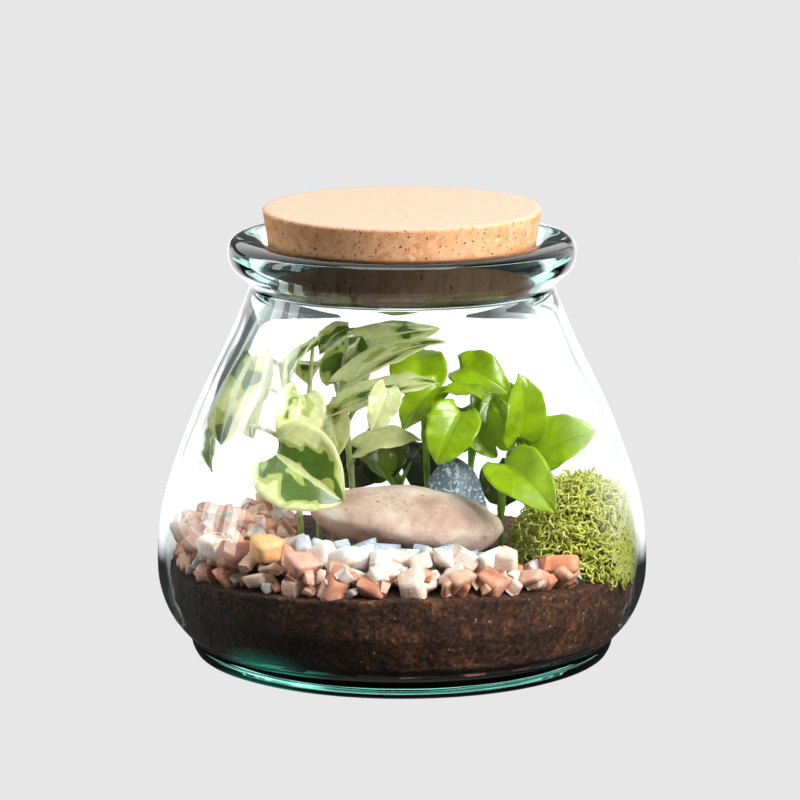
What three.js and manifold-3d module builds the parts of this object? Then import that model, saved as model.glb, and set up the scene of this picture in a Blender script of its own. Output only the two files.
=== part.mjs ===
// A closed plant terrarium: a squat pear-shaped jar of thick recycled glass with a rolled rim,
// stopped with a tapered cork. It holds a thin drainage layer, potting soil, a bank of gravel,
// two stones, a cushion of moss and cuttings of two vines, one variegated and one plain green.
//
// Millimetres, +Z up. The origin is the middle of the foot, on the surface that the jar stands on.
// +X is to the right of the front view, and the front faces -Y.

import * as THREE from "three";
import { mergeVertices } from "three/addons/utils/BufferGeometryUtils.js";
import Module from "manifold-3d";

// ---------------------------------------------------------------- driving dimensions

const GAP = 0.3; // clearance between pieces that touch
const SEAT = 0.5; // how much larger the seat cut for an uneven stone is than the stone

// The jar's outside, as [radius, height].
const FOOT_INSIDE = 77; // inner radius of the flat ring that it stands on, which ends at the heel
const PUNT_HEIGHT = 4.5; // how far the underside is pushed up in the middle
const HEEL = [[91.5, 0], [96.4, 2.2], [98.8, 6.4], [99.4, 10]];
const BODY = [[99.4, 10], [108.6, 21], [113.8, 34], [115, 47], [113.9, 64], [110, 82],
  [103.2, 102], [94.2, 124], [83.4, 146], [75.6, 164], [70.6, 177]];
const RIM = [[70.6, 177], [74.4, 180.6], [79.6, 185.6], [81.4, 191.8], [79.6, 197.2],
  [73.6, 199.2], [66.4, 198.2], [62.9, 195]];
// The inside, from the mouth down to the middle of the floor. The wall is 8 mm thick at the
// shoulder and 4 mm at the belly.
const INSIDE = [[60.2, 179.5], [61.6, 173.5], [66.4, 165], [75.4, 146], [87, 124], [96.9, 102],
  [104.6, 82], [109.2, 64], [110.8, 47], [109.4, 33], [103.8, 19.4], [96, 10.6], [86, 6.8]];
const FLOOR = [[60, 6.1], [30, 6.9], [0, 7.9]];

const CORK_TOP = 212.8;
const CORK_BOTTOM = 183;
const CORK_RADIUS = 65.3; // at the top
const CORK_TAPER = 0.165; // radius lost for each millimetre down
const CORK_EDGE = 0.8; // broken edge at the top and bottom

const DRAINAGE_TOP = 12.4;
const SOIL_LEVEL = 51; // at the middle
const SOIL_FALL = 5.5; // how much lower it is at the sides
const PATCH_RADIUS = 116; // of the soil's surface, wider than the jar's inside, which trims it
const GRAVEL_DEPTH = 8; // over the soil at the front
const GRAVEL_BANK = 14; // more than that, on the left
const PEBBLE_SIZE = 7.2; // mean half length
const BED_RADIUS = 93; // of the gravel without the pebbles against the glass
const SURFACE_REACH = 90; // radius out to which pebbles are spread over it
const SURFACE_PLACES = 88; // for them on the whole disc, of which the gravel takes its share
const WALL_REACH = 99.5; // radius at which the pebbles against the glass lie
const WALL_PLACES = 33; // for them in a row all round
const WALL_ROWS = 4; // at most
const ROW_HEIGHT = 10.5;
const DRAINAGE_BED = 80; // radius of the drainage layer without its outer stones
const DRAINAGE_REACH = 85; // radius at which those lie
const DRAINAGE_STONES = 20;

// Pebbles of one colour that lie together on the gravel, each at an [x, y].
const WHITE_PEBBLES = { seed: 5, size: 8, places: [[-37, -72], [-27.5, -75], [-18, -72.5], [-9, -76], [0, -73],
  [9, -76.5], [18.5, -74], [28, -77], [37.5, -74], [47, -76]] };
const BLUE_GREY_PEBBLES = { seed: 9, size: 6.8, places: [[-45, -58], [-36, -61], [-27, -58], [-18, -61],
  [-9, -59], [0, -62], [9, -59], [18, -61], [27, -58], [36, -60]] };
const AMBER_PEBBLE = { seed: 21, size: 9, places: [[-61, -76]] };
const ROSE_PEBBLE = { seed: 24, size: 8.5, places: [[-45, -87]] };
const TERRACOTTA_PEBBLE = { seed: 23, size: 8.5, places: [[70, -69]] };

const FLAT_STONE = { half: [48, 26, 16.5], centre: [2, -28, 70], turn: [-4, 6], seed: 1.3 };
const SLATE_STONE = { half: [16, 10, 27], centre: [26, 7, 68], turn: [10, -14], seed: 4.1 };

const MOSS = { centre: [82, -22, 50], half: [32, 38, 41] };
const MOSS_TUFTS = 0.42; // share of the cushion's points that are drawn out into tufts
const MOSS_STRANDS = 22;

const STEM_RADIUS = 1.5;
const PETIOLE_RADIUS = 0.95;
const LEAF_THICKNESS = 0.7;
const LEAF_FOLD = 14; // degrees that each half of a blade rises from the midrib
const LEAF_WAVE = 0.9; // height of the waves along its margin
const WALL_CLEARANCE = 1.6; // from a leaf to the glass

// Each stem is a list of points from its foot in the soil. Each leaf leaves it at a share of its
// length ("from").
const VARIEGATED_VINES = [
  // the front stem, with the large leaf that hangs before the gravel
  { stem: [[-38, -8, 40], [-39, -10, 75], [-41, -14, 105], [-43, -18, 124]], leaves: [
    { from: 0.72, base: [-57, -47, 105], tip: [-27, -55, 85], face: [-0.1, -1, 0.35], width: 42, bow: 4 },
    { from: 0.96, base: [-46, -33, 130], tip: [-53, -41, 103], face: [0.3, -1, 0.1], width: 24, bow: 4 },
    { from: 0.99, base: [-39, -17, 151], tip: [-50, -26, 124], face: [-0.85, -0.25, 0.4], width: 20, bow: 6 },
  ] },
  // the left stem, whose leaves hang along the glass
  { stem: [[-46, 6, 40], [-49, 5, 75], [-53, 2, 110], [-56, -2, 140]], leaves: [
    { from: 0.99, base: [-69, -7, 144], tip: [-84, -13, 103], face: [-0.3, -1, 0.1], width: 30, bow: 4 },
    { from: 0.6, base: [-86, 0, 112], tip: [-88, -16, 91], face: [-0.8, -0.6, 0.2], width: 11, bow: 2 },
    { from: 0.8, base: [-66, 18, 126], tip: [-72, 34, 98], face: [-0.7, 0.7, 0.2], width: 27, bow: 4 },
  ] },
  // the middle stem, which reaches up towards the cork
  { stem: [[-31, 2, 40], [-32, 2, 80], [-30, 2, 115], [-26, 4, 142]], leaves: [
    { from: 0.86, base: [-29, 8, 129], tip: [-19, 10, 152], face: [0, -1, 0.3], width: 25, bow: 3 },
    { from: 0.97, base: [-24, -9, 160], tip: [-38, -14, 146], face: [-0.3, -0.8, 0.6], width: 15, bow: 3 },
    { from: 0.99, base: [-18, 14, 148], tip: [18, 22, 156], face: [0, -0.9, 0.5], width: 24, bow: 3 },
    { from: 0.8, base: [-35, 22, 134], tip: [-46, 50, 122], face: [-0.3, 0.3, 0.9], width: 26, bow: 6 },
  ] },
  // the inner stem, whose long leaves lie out to the right
  { stem: [[-22, 10, 40], [-23, 6, 75], [-26, -4, 108], [-28, -10, 122]], leaves: [
    { from: 0.98, base: [-26, -8, 131], tip: [20, 0, 150], face: [-0.3, -0.5, 0.9], width: 20, bow: 5 },
    { from: 0.9, base: [-28, -23, 121], tip: [17, -28, 135], face: [0, -0.45, 0.9], width: 20, bow: 4 },
    { from: 0.85, base: [-7, -41, 135], tip: [-14, -45, 115], face: [0.3, -1, 0], width: 16, bow: 2 },
    { from: 0.6, base: [-20, -16, 101], tip: [9, -22, 107], face: [0, -0.6, 0.8], width: 15, bow: 4 },
    { from: 0.75, base: [-35, -15, 122], tip: [-29, -16, 99], face: [0.2, -1, 0.2], width: 17, bow: 2 },
  ] },
];
const GREEN_VINES = [
  { stem: [[12, 24, 40], [12, 22, 75], [11, 14, 100], [10, 5, 117]], leaves: [
    { from: 0.97, base: [8, 4, 126], tip: [7, 27, 142], face: [0, -0.6, 0.8], width: 28, bow: 4 },
    { from: 0.95, base: [17, -4, 129], tip: [0, -9, 109], face: [-0.2, -0.8, 0.6], width: 18, bow: 4 },
    { from: 0.8, base: [27, -26, 121], tip: [16, -34, 98], face: [0, -0.9, 0.5], width: 25, bow: 4 },
  ] },
  { stem: [[32, 27, 40], [32, 25, 75], [34, 16, 105], [36, 6, 123]], leaves: [
    { from: 0.99, base: [27, 11, 135], tip: [50, 5, 124], face: [0.1, -0.8, 0.6], width: 23, bow: 4 },
    { from: 0.93, base: [37, -9, 124], tip: [17, -13, 127], face: [0, -0.3, 0.95], width: 14, bow: 3 },
    { from: 0.8, base: [52, 10, 101], tip: [43, 8, 123], face: [-0.3, -0.9, 0.3], width: 17, bow: 3 },
    { from: 0.7, base: [31, 0, 108], tip: [44, -2, 95], face: [0.1, -0.9, 0.4], width: 13, bow: 2 },
    { from: 0.82, base: [41, 30, 122], tip: [51, 31, 97], face: [0.2, -1, 0.2], width: 26, bow: 4 },
    { from: 0.62, base: [28, 33, 112], tip: [25, 34, 89], face: [-0.2, -1, 0.2], width: 23, bow: 4 },
  ] },
  { stem: [[47, 16, 40], [47, 14, 70], [51, 5, 96]], leaves: [
    { from: 0.98, base: [54, -3, 104], tip: [54, -8, 136], face: [0.5, -0.8, 0], width: 25, bow: 4 },
    { from: 0.85, base: [60, 11, 93], tip: [92, 8, 107], face: [0.1, -0.8, 0.6], width: 27, bow: 4 },
    { from: 0.8, base: [47, -31, 98], tip: [69, -59, 80], face: [0, -0.9, 0.5], width: 27, bow: 4 },
    { from: 0.5, base: [44, 26, 86], tip: [50, 31, 66], face: [0.1, -1, 0.3], width: 21, bow: 3 },
  ] },
  { stem: [[0, 36, 40], [0, 34, 62], [-2, 30, 80]], leaves: [
    { from: 0.9, base: [-5, 14, 84], tip: [-21, 6, 94], face: [0.2, -0.7, 0.7], width: 19, bow: 3 },
    { from: 0.98, base: [-6, 23, 102], tip: [-13, 25, 78], face: [0, -1, 0.2], width: 24, bow: 4 },
    { from: 0.7, base: [-10, 44, 88], tip: [-35, 41, 76], face: [0, -1, 0.3], width: 24, bow: 4 },
    { from: 0.85, base: [9, 41, 94], tip: [12, 42, 69], face: [0.1, -1, 0.2], width: 23, bow: 4 },
  ] },
];

// How finely the curved surfaces are divided.
const ROUND_SIDES = 36; // round a turned piece
const GROUND_RINGS = 5; // across the soil and the gravel
const GROUND_SIDES = 28; // round them
const LEAF_STEPS = 5; // along a midrib
const LEAF_LANES = 4; // across a blade
const GOLDEN_ANGLE = Math.PI * (3 - Math.sqrt(5)); // spreads things evenly over a disc or a dome

// ---------------------------------------------------------------- solids

const wasm = await Module();
wasm.setup();
const { Manifold, Mesh: SolidMesh } = wasm;
const WELD = 1e-3;

/** A closed geometry as a solid that can be joined and cut. */
function solidOf(geometry) {
  const bare = new THREE.BufferGeometry();
  bare.setAttribute("position", geometry.getAttribute("position"));
  bare.setIndex(geometry.index);
  const merged = mergeVertices(bare, WELD);
  const corners = merged.index.array;
  const faces = [];
  for (let i = 0; i < corners.length; i += 3) {
    const [a, b, c] = corners.slice(i, i + 3);
    if (a !== b && b !== c && a !== c) faces.push(a, b, c);
  }
  return new Manifold(new SolidMesh({
    numProp: 3,
    vertProperties: merged.getAttribute("position").array,
    triVerts: new Uint32Array(faces),
  }));
}

/** A solid as a geometry. */
function geometryOf(solid) {
  const { vertProperties, triVerts } = solid.getMesh();
  const geometry = new THREE.BufferGeometry();
  geometry.setAttribute("position", new THREE.BufferAttribute(vertProperties, 3));
  geometry.setIndex(new THREE.BufferAttribute(triVerts, 1));
  return geometry;
}

const join = (solids) => Manifold.union(solids);

/** The largest body of a solid, without the scraps that a cut leaves. */
function wholeOf(solid) {
  const bodies = solid.decompose();
  return bodies.reduce((best, body) => (body.volume() > best.volume() ? body : best));
}

/** Numbers from 0 to 1, the same on each run for the same seed. */
function seeded(seed) {
  let state = seed;
  return () => {
    state = (state + 0x6d2b79f5) | 0;
    let t = Math.imul(state ^ (state >>> 15), 1 | state);
    t = (t + Math.imul(t ^ (t >>> 7), 61 | t)) ^ t;
    return ((t ^ (t >>> 14)) >>> 0) / 4294967296;
  };
}

const between = (random, low, high) => low + (high - low) * random();
const radians = THREE.MathUtils.degToRad;
const { smoothstep } = THREE.MathUtils;
const point = ([x, y, z]) => new THREE.Vector3(x, y, z);

// ---------------------------------------------------------------- turned pieces

/** Points of a smooth curve through the given [radius, height] pairs. */
function smoothOutline(pairs, steps) {
  const curve = new THREE.SplineCurve(pairs.map(([r, z]) => new THREE.Vector2(r, z)));
  return curve.getSpacedPoints(steps);
}

/** A profile of (radius, height) points turned about Z. */
function turned(profile) {
  return new THREE.LatheGeometry(profile, ROUND_SIDES).rotateX(Math.PI / 2);
}

const onAxis = (z) => new THREE.Vector2(0, z);
const insideOutline = [...smoothOutline(INSIDE, 11), ...FLOOR.map(([r, z]) => new THREE.Vector2(r, z))];

function jarGeometry() {
  const underside = [0, 0.6, 1].map((share) => {
    const height = PUNT_HEIGHT * (1 - share ** 2);
    return new THREE.Vector2(FOOT_INSIDE * share, height);
  });
  return turned([
    ...underside,
    ...smoothOutline(HEEL, 3),
    ...smoothOutline(BODY, 9).slice(1),
    ...smoothOutline(RIM, 7).slice(1),
    ...insideOutline,
  ]);
}

const corkRadius = (z) => CORK_RADIUS - CORK_TAPER * (CORK_TOP - z);

function corkGeometry() {
  return turned([
    onAxis(CORK_BOTTOM),
    new THREE.Vector2(corkRadius(CORK_BOTTOM) - CORK_EDGE, CORK_BOTTOM),
    new THREE.Vector2(corkRadius(CORK_BOTTOM + CORK_EDGE), CORK_BOTTOM + CORK_EDGE),
    new THREE.Vector2(corkRadius(CORK_TOP - CORK_EDGE), CORK_TOP - CORK_EDGE),
    new THREE.Vector2(corkRadius(CORK_TOP) - CORK_EDGE, CORK_TOP),
    onAxis(CORK_TOP),
  ]);
}

/** The room inside the jar, clear of its wall and floor. */
function cavitySolid() {
  const wall = insideOutline.map((p) => new THREE.Vector2(Math.max(0, p.x - GAP * 1.4), p.y + GAP));
  return solidOf(turned([onAxis(wall[0].y), ...wall].reverse()));
}

// ---------------------------------------------------------------- soil and gravel

/** The solid from a flat base up to the surface z = top(x, y), over a round patch. */
function moundSolid(top, base, radius) {
  const positions = [0, 0, top(0, 0), 0, 0, base];
  const rim = [];
  for (let side = 0; side < GROUND_SIDES; side++) {
    const turn = (2 * Math.PI * side) / GROUND_SIDES;
    rim.push([radius * Math.cos(turn), radius * Math.sin(turn)]);
  }
  for (let ring = 1; ring <= GROUND_RINGS; ring++) {
    const share = ring / GROUND_RINGS;
    rim.forEach(([x, y]) => positions.push(x * share, y * share, top(x * share, y * share)));
  }
  rim.forEach(([x, y]) => positions.push(x, y, base));
  const at = (ring, side) => 2 + (ring - 1) * GROUND_SIDES + (side % GROUND_SIDES);
  const faces = [];
  for (let side = 0; side < GROUND_SIDES; side++) {
    faces.push(0, at(1, side), at(1, side + 1));
    for (let ring = 1; ring <= GROUND_RINGS; ring++) {
      const [a, b, c, d] = [at(ring, side), at(ring + 1, side), at(ring + 1, side + 1), at(ring, side + 1)];
      faces.push(a, b, c, a, c, d);
    }
    faces.push(1, at(GROUND_RINGS + 1, side + 1), at(GROUND_RINGS + 1, side));
  }
  const geometry = new THREE.BufferGeometry();
  geometry.setAttribute("position", new THREE.Float32BufferAttribute(positions, 3));
  geometry.setIndex(faces);
  return solidOf(geometry);
}

/** Height of the soil's surface: low waves, and a little lower at the sides than in the middle. */
function soilTop(x, y) {
  return SOIL_LEVEL + 1.2 * Math.sin(x / 21 + 1) * Math.cos(y / 17) - SOIL_FALL * (x / 110) ** 2;
}

/** How much of the gravel's depth lies at a place, from 0 behind and under the moss to 1. */
function gravelShare(x, y) {
  const front = 1 - smoothstep(y, -62 - 0.2 * x, -40 - 0.2 * x);
  const left = 1 - smoothstep(x, -66, -46);
  const clearOfMoss = 1 - smoothstep(x, 74, 84);
  return Math.max(front, left) * clearOfMoss;
}

/** Height of the gravel's surface. It is banked up against the left side. */
function gravelTop(x, y) {
  const fromLeft = 1 - smoothstep(x, -80, -30);
  const alongSide = smoothstep(y, -108, -50) * (1 - 0.75 * smoothstep(y, -15, 55));
  const bank = GRAVEL_BANK * fromLeft * alongSide;
  return soilTop(x, y) + gravelShare(x, y) * (GRAVEL_DEPTH + bank);
}

/** A rough angular pebble about the origin: a box whose corners are pushed in and out. */
function pebbleGeometry(random, size, grow = 0) {
  const bare = new THREE.BoxGeometry(2, 2, 2);
  bare.deleteAttribute("normal");
  bare.deleteAttribute("uv");
  const pebble = mergeVertices(bare);
  const place = pebble.getAttribute("position");
  for (let i = 0; i < place.count; i++) {
    const [x, y, z] = [0, 1, 2].map((axis) => place.getComponent(i, axis) * between(random, 0.36, 1));
    place.setXYZ(i, x, y, z);
  }
  const half = [[1, 1.35], [0.8, 1], [0.6, 0.85]].map(([low, high]) => size * between(random, low, high));
  const tilt = () => between(random, -0.6, 0.6);
  const turn = new THREE.Euler(tilt(), tilt(), between(random, 0, Math.PI));
  pebble.scale(...half.map((length) => length + grow));
  return pebble.applyMatrix4(new THREE.Matrix4().makeRotationFromEuler(turn));
}

/** Pebbles spread loosely over the surface of the gravel, on a jittered spiral. */
function surfacePebbles(random, grow) {
  const pebbles = [];
  for (let i = 0; i < SURFACE_PLACES; i++) {
    const reach = SURFACE_REACH * Math.sqrt((i + 0.5) / SURFACE_PLACES);
    const x = reach * Math.cos(i * GOLDEN_ANGLE) + between(random, -2, 2);
    const y = reach * Math.sin(i * GOLDEN_ANGLE) + between(random, -2, 2);
    const size = PEBBLE_SIZE * between(random, 0.8, 1.3);
    const pebble = pebbleGeometry(random, size, grow);
    if (gravelShare(x, y) < 0.3) continue;
    pebbles.push(solidOf(pebble.translate(x, y, gravelTop(x, y) - 0.35 * size)));
  }
  return pebbles;
}

/** Pebbles stacked in rows against the glass, from the soil up to the gravel's surface. */
function wallPebbles(random, grow) {
  const pebbles = [];
  for (let i = 0; i < WALL_PLACES; i++) {
    for (let row = 0; row < WALL_ROWS; row++) {
      const turn = (2 * Math.PI * (i + 0.5 * (row % 2) + between(random, -0.15, 0.15))) / WALL_PLACES;
      const x = WALL_REACH * Math.cos(turn);
      const y = WALL_REACH * Math.sin(turn);
      const z = soilTop(x, y) + 3.5 + row * ROW_HEIGHT;
      const pebble = pebbleGeometry(random, PEBBLE_SIZE * between(random, 1.05, 1.35), grow);
      if (gravelShare(x, y) < 0.3 || z > gravelTop(x, y) + 1) continue;
      pebbles.push(solidOf(pebble.translate(x, y, z)));
    }
  }
  return pebbles;
}

/** All the gravel. Under its outer pebbles is a bed that they stand out of. */
function gravelPile(grow = 0) {
  const random = seeded(11);
  const bedTop = (x, y) => gravelTop(x, y) - (gravelShare(x, y) < 0.3 ? 9 : 4.5) + grow;
  const bed = moundSolid(bedTop, DRAINAGE_TOP, BED_RADIUS + grow);
  return join([bed, ...surfacePebbles(random, grow), ...wallPebbles(random, grow)]);
}

/** A group of pebbles of one colour, pushed together on the gravel. */
function pebbleGroup({ seed, size, places }, grow = 0) {
  const random = seeded(seed);
  return join(places.map(([x, y]) => {
    const pebble = pebbleGeometry(random, size * between(random, 1, 1.15), grow);
    return solidOf(pebble.translate(x, y, gravelTop(x, y) + 0.4 * size));
  }));
}

/** The drainage layer: a bed of pebbles, of which the outermost show through the wall. */
function drainageSolid(cavity) {
  const random = seeded(7);
  const stones = [...Array(DRAINAGE_STONES).keys()].map((i) => {
    const turn = (2 * Math.PI * (i + between(random, -0.15, 0.15))) / DRAINAGE_STONES;
    const stone = pebbleGeometry(random, PEBBLE_SIZE * between(random, 1.1, 1.35)).scale(1, 1, 0.25);
    return solidOf(stone.translate(
      DRAINAGE_REACH * Math.cos(turn), DRAINAGE_REACH * Math.sin(turn), DRAINAGE_TOP - 2.6));
  });
  const bed = new THREE.CylinderGeometry(DRAINAGE_BED, DRAINAGE_BED, DRAINAGE_TOP, 18);
  const bedSolid = solidOf(bed.rotateX(Math.PI / 2).translate(0, 0, DRAINAGE_TOP / 2));
  return wholeOf(join([bedSolid, ...stones]).intersect(cavity));
}

// ---------------------------------------------------------------- stones

/** A water-worn stone: an uneven ball pressed to its half lengths, with a flattened top. */
function stoneGeometry({ half, centre, turn, seed, grow = 0 }) {
  const bare = new THREE.IcosahedronGeometry(1, 2);
  bare.deleteAttribute("normal");
  bare.deleteAttribute("uv");
  const stone = mergeVertices(bare);
  const place = stone.getAttribute("position");
  for (let i = 0; i < place.count; i++) {
    const p = new THREE.Vector3().fromBufferAttribute(place, i);
    const bulge = 1 + 0.07 * Math.sin(2.3 * p.x + seed) * Math.cos(2.9 * p.y - seed)
      + 0.05 * Math.sin(4.1 * p.z + 3.3 * p.x + 2 * seed);
    p.multiplyScalar(bulge);
    p.z = Math.sign(p.z) * Math.abs(p.z) ** 1.15;
    place.setXYZ(i, p.x, p.y, p.z);
  }
  stone.scale(half[0] + grow, half[1] + grow, half[2] + grow);
  return stone.rotateY(radians(turn[1])).rotateZ(radians(turn[0])).translate(...centre);
}

// ---------------------------------------------------------------- moss

/** A low mound whose surface is drawn out into tufts all over. */
function mossMound(random) {
  const bare = new THREE.IcosahedronGeometry(1, 5);
  bare.deleteAttribute("normal");
  bare.deleteAttribute("uv");
  const mound = mergeVertices(bare);
  const place = mound.getAttribute("position");
  for (let i = 0; i < place.count; i++) {
    const way = new THREE.Vector3().fromBufferAttribute(place, i);
    const lump = 1.6 * Math.sin(9 * way.x) * Math.cos(8 * way.y + 5 * way.z);
    const tuft = random() < MOSS_TUFTS ? between(random, 3, 6.5) : between(random, -2.5, -1);
    const shift = new THREE.Vector3(between(random, -1, 1), between(random, -1, 1), between(random, -1, 1));
    const p = way.clone().multiply(point(MOSS.half)).addScaledVector(way, lump + tuft - 3).add(shift);
    place.setXYZ(i, ...p.add(point(MOSS.centre)));
  }
  return solidOf(mound);
}

/** One curling three-sided strand that grows from the origin along +Z. */
function strandGeometry(random) {
  const length = between(random, 9, 14);
  const strand = new THREE.ConeGeometry(1.3, length, 3, 2).translate(0, length / 2 - 4, 0).rotateX(Math.PI / 2);
  const place = strand.getAttribute("position");
  const curl = between(random, 2, 5);
  for (let i = 0; i < place.count; i++) {
    const rise = Math.max(0, place.getZ(i)) / length;
    place.setX(i, place.getX(i) + curl * rise ** 2);
  }
  return strand.rotateZ(between(random, 0, 2 * Math.PI));
}

/** A cushion of moss: a tufted mound with longer strands here and there. */
function mossCushion(random) {
  const strands = [...Array(MOSS_STRANDS).keys()].map((i) => {
    const rise = 0.05 + (0.95 * (i + 0.5)) / MOSS_STRANDS;
    const across = Math.sqrt(1 - rise ** 2);
    const round = i * GOLDEN_ANGLE;
    const way = new THREE.Vector3(across * Math.cos(round), across * Math.sin(round), rise);
    const root = way.clone().multiply(point(MOSS.half)).add(point(MOSS.centre));
    const lean = new THREE.Vector3(...[0.5, 0.5, 0.4].map((most) => between(random, -most, most)));
    const upright = new THREE.Vector3(0, 0, 1);
    const turn = new THREE.Quaternion().setFromUnitVectors(upright, way.add(lean).normalize());
    const matrix = new THREE.Matrix4().compose(root, turn, new THREE.Vector3(1, 1, 1));
    return solidOf(strandGeometry(random).applyMatrix4(matrix));
  });
  return join([mossMound(random), ...strands]);
}

// ---------------------------------------------------------------- vines

/** Half width of a heart-shaped blade of unit half width, from its base at 0 to its tip at 1. */
const bladeShape = (u) => 2.096 * (1 - u) ** 0.8 * (u + 0.02) ** 0.4;

/** Radius of the jar's inside at a height. */
function insideRadius(z) {
  const above = insideOutline.findIndex((p) => p.y < z);
  if (above < 1) return insideOutline[0].x;
  const [upper, lower] = [insideOutline[above - 1], insideOutline[above]];
  return lower.x + ((upper.x - lower.x) * (z - lower.y)) / (upper.y - lower.y);
}

/** A point moved in from the glass where it would come too near to it. */
function insideGlass(p) {
  const limit = insideRadius(p.z) * Math.cos(Math.PI / ROUND_SIDES) - WALL_CLEARANCE;
  const reach = Math.hypot(p.x, p.y);
  return reach > limit ? new THREE.Vector3((p.x * limit) / reach, (p.y * limit) / reach, p.z) : p;
}

/**
 * A point of a leaf's blade. u runs from its base to its tip, v from one margin (-1) to the other
 * (1), and lift is the height over the middle of its thickness. The upper side looks towards
 * "face", and the midrib is arched up by "bow" between its ends.
 */
function bladePoint({ base, tip, face, width, bow }, u, v, lift) {
  const axis = point(tip).sub(point(base));
  const length = axis.length();
  const along = axis.clone().normalize();
  const up = point(face).projectOnPlane(along).normalize();
  const side = new THREE.Vector3().crossVectors(up, along);
  const run = axis.clone().addScaledVector(up, 4 * bow * (1 - 2 * u)).normalize();
  const normal = new THREE.Vector3().crossVectors(run, side);
  const reach = Math.max(0.6, (bladeShape(u) * width) / 2) * Math.abs(v);
  const wave = LEAF_WAVE * Math.sin(12 * u + length + 2 * v) * Math.abs(v) ** 1.5;
  const lobe = 0.12 * length * v ** 2 * (1 - u) ** 3;
  const place = point(base)
    .addScaledVector(axis, u)
    .addScaledVector(up, 4 * bow * u * (1 - u))
    .addScaledVector(side, Math.cos(radians(LEAF_FOLD)) * reach * Math.sign(v))
    .addScaledVector(normal, Math.sin(radians(LEAF_FOLD)) * reach + wave)
    .addScaledVector(along, -lobe);
  return insideGlass(place).addScaledVector(normal, lift);
}

function bladeGeometry(leaf) {
  const positions = [];
  for (const lift of [LEAF_THICKNESS / 2, -LEAF_THICKNESS / 2]) {
    for (let i = 0; i <= LEAF_STEPS; i++) {
      for (let j = 0; j <= LEAF_LANES; j++) {
        positions.push(...bladePoint(leaf, i / LEAF_STEPS, (2 * j) / LEAF_LANES - 1, lift));
      }
    }
  }
  const row = LEAF_LANES + 1;
  const under = row * (LEAF_STEPS + 1);
  const faces = [];
  for (let i = 0; i < LEAF_STEPS; i++) {
    for (let j = 0; j < LEAF_LANES; j++) {
      const [a, b, c, d] = [i * row + j, (i + 1) * row + j, (i + 1) * row + j + 1, i * row + j + 1];
      faces.push(a, b, c, a, c, d);
      faces.push(a + under, c + under, b + under, a + under, d + under, c + under);
    }
  }
  const wall = (a, b) => faces.push(a, b, b + under, a, b + under, a + under);
  for (let i = 0; i < LEAF_STEPS; i++) {
    wall((i + 1) * row, i * row);
    wall(i * row + LEAF_LANES, (i + 1) * row + LEAF_LANES);
  }
  for (let j = 0; j < LEAF_LANES; j++) {
    wall(j, j + 1);
    wall(LEAF_STEPS * row + j + 1, LEAF_STEPS * row + j);
  }
  const geometry = new THREE.BufferGeometry();
  geometry.setAttribute("position", new THREE.Float32BufferAttribute(positions, 3));
  geometry.setIndex(faces);
  return geometry;
}

/** A round stalk of the given radius along a curve. */
function stalkGeometry(curve, radius, sides, steps) {
  const section = new THREE.Shape(
    [...Array(sides).keys()].map((i) => {
      const turn = (2 * Math.PI * i) / sides;
      return new THREE.Vector2(radius * Math.cos(turn), radius * Math.sin(turn));
    }));
  return new THREE.ExtrudeGeometry(section, { steps, bevelEnabled: false, extrudePath: curve });
}

const stemCurve = (vine) => new THREE.CatmullRomCurve3(vine.stem.map(point));

/** A petiole that leaves the stem, arches over and ends inside its blade, near the base. */
function petioleCurve(vine, leaf) {
  const from = stemCurve(vine).getPointAt(leaf.from);
  const to = bladePoint(leaf, 0.06, 0, 0);
  const middle = from.clone().lerp(to, 0.5);
  middle.z += 0.22 * from.distanceTo(to);
  return new THREE.QuadraticBezierCurve3(from, middle, to);
}

/** One rooted cutting: its stem, and each leaf on a petiole, grown together. */
function vineSolid(vine) {
  const stem = solidOf(stalkGeometry(stemCurve(vine), STEM_RADIUS, 6, 6));
  const leaves = vine.leaves.flatMap((leaf) => [
    solidOf(stalkGeometry(petioleCurve(vine, leaf), PETIOLE_RADIUS, 4, 3)),
    solidOf(bladeGeometry(leaf)),
  ]);
  return wholeOf(join([stem, ...leaves]));
}

/** The hole that a vine's stem stands in. */
const stemHole = (vine) => solidOf(stalkGeometry(stemCurve(vine), STEM_RADIUS + GAP * 1.3, 6, 6));

// ---------------------------------------------------------------- the terrarium

const cavity = cavitySolid();
const vines = [...VARIEGATED_VINES, ...GREEN_VINES];
const around = {
  stones: join([FLAT_STONE, SLATE_STONE].map((stone) => solidOf(stoneGeometry({ ...stone, grow: SEAT })))),
  stemHoles: join(vines.map(stemHole)),
  soil: moundSolid((x, y) => soilTop(x, y) + GAP, 0, PATCH_RADIUS),
  gravel: gravelPile(SEAT),
};

function soilSolid() {
  const drainage = solidOf(new THREE.BoxGeometry(300, 300, 60).translate(0, 0, DRAINAGE_TOP + GAP - 30));
  const fill = moundSolid(soilTop, 0, PATCH_RADIUS).intersect(cavity);
  return wholeOf(fill.subtract(join([drainage, around.stones, around.stemHoles])));
}

/** The coloured pebbles in the order in which they were laid, so that each is clear of those before. */
function laidPebbles() {
  const groups = { amber_pebble: AMBER_PEBBLE, rose_pebble: ROSE_PEBBLE, terracotta_pebble: TERRACOTTA_PEBBLE,
    blue_grey_pebbles: BLUE_GREY_PEBBLES, white_pebbles: WHITE_PEBBLES };
  let taken = join([around.soil, around.stones]);
  const laid = {};
  for (const [name, group] of Object.entries(groups)) {
    laid[name] = wholeOf(pebbleGroup(group).intersect(cavity).subtract(taken));
    taken = taken.add(pebbleGroup(group, SEAT));
  }
  laid.gravel_bed = wholeOf(gravelPile().intersect(cavity).subtract(taken.add(around.stemHoles)));
  return { laid, taken };
}

const { laid, taken } = laidPebbles();

function mossSolid() {
  return wholeOf(mossCushion(seeded(3)).intersect(cavity).subtract(taken.add(around.gravel)));
}

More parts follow.
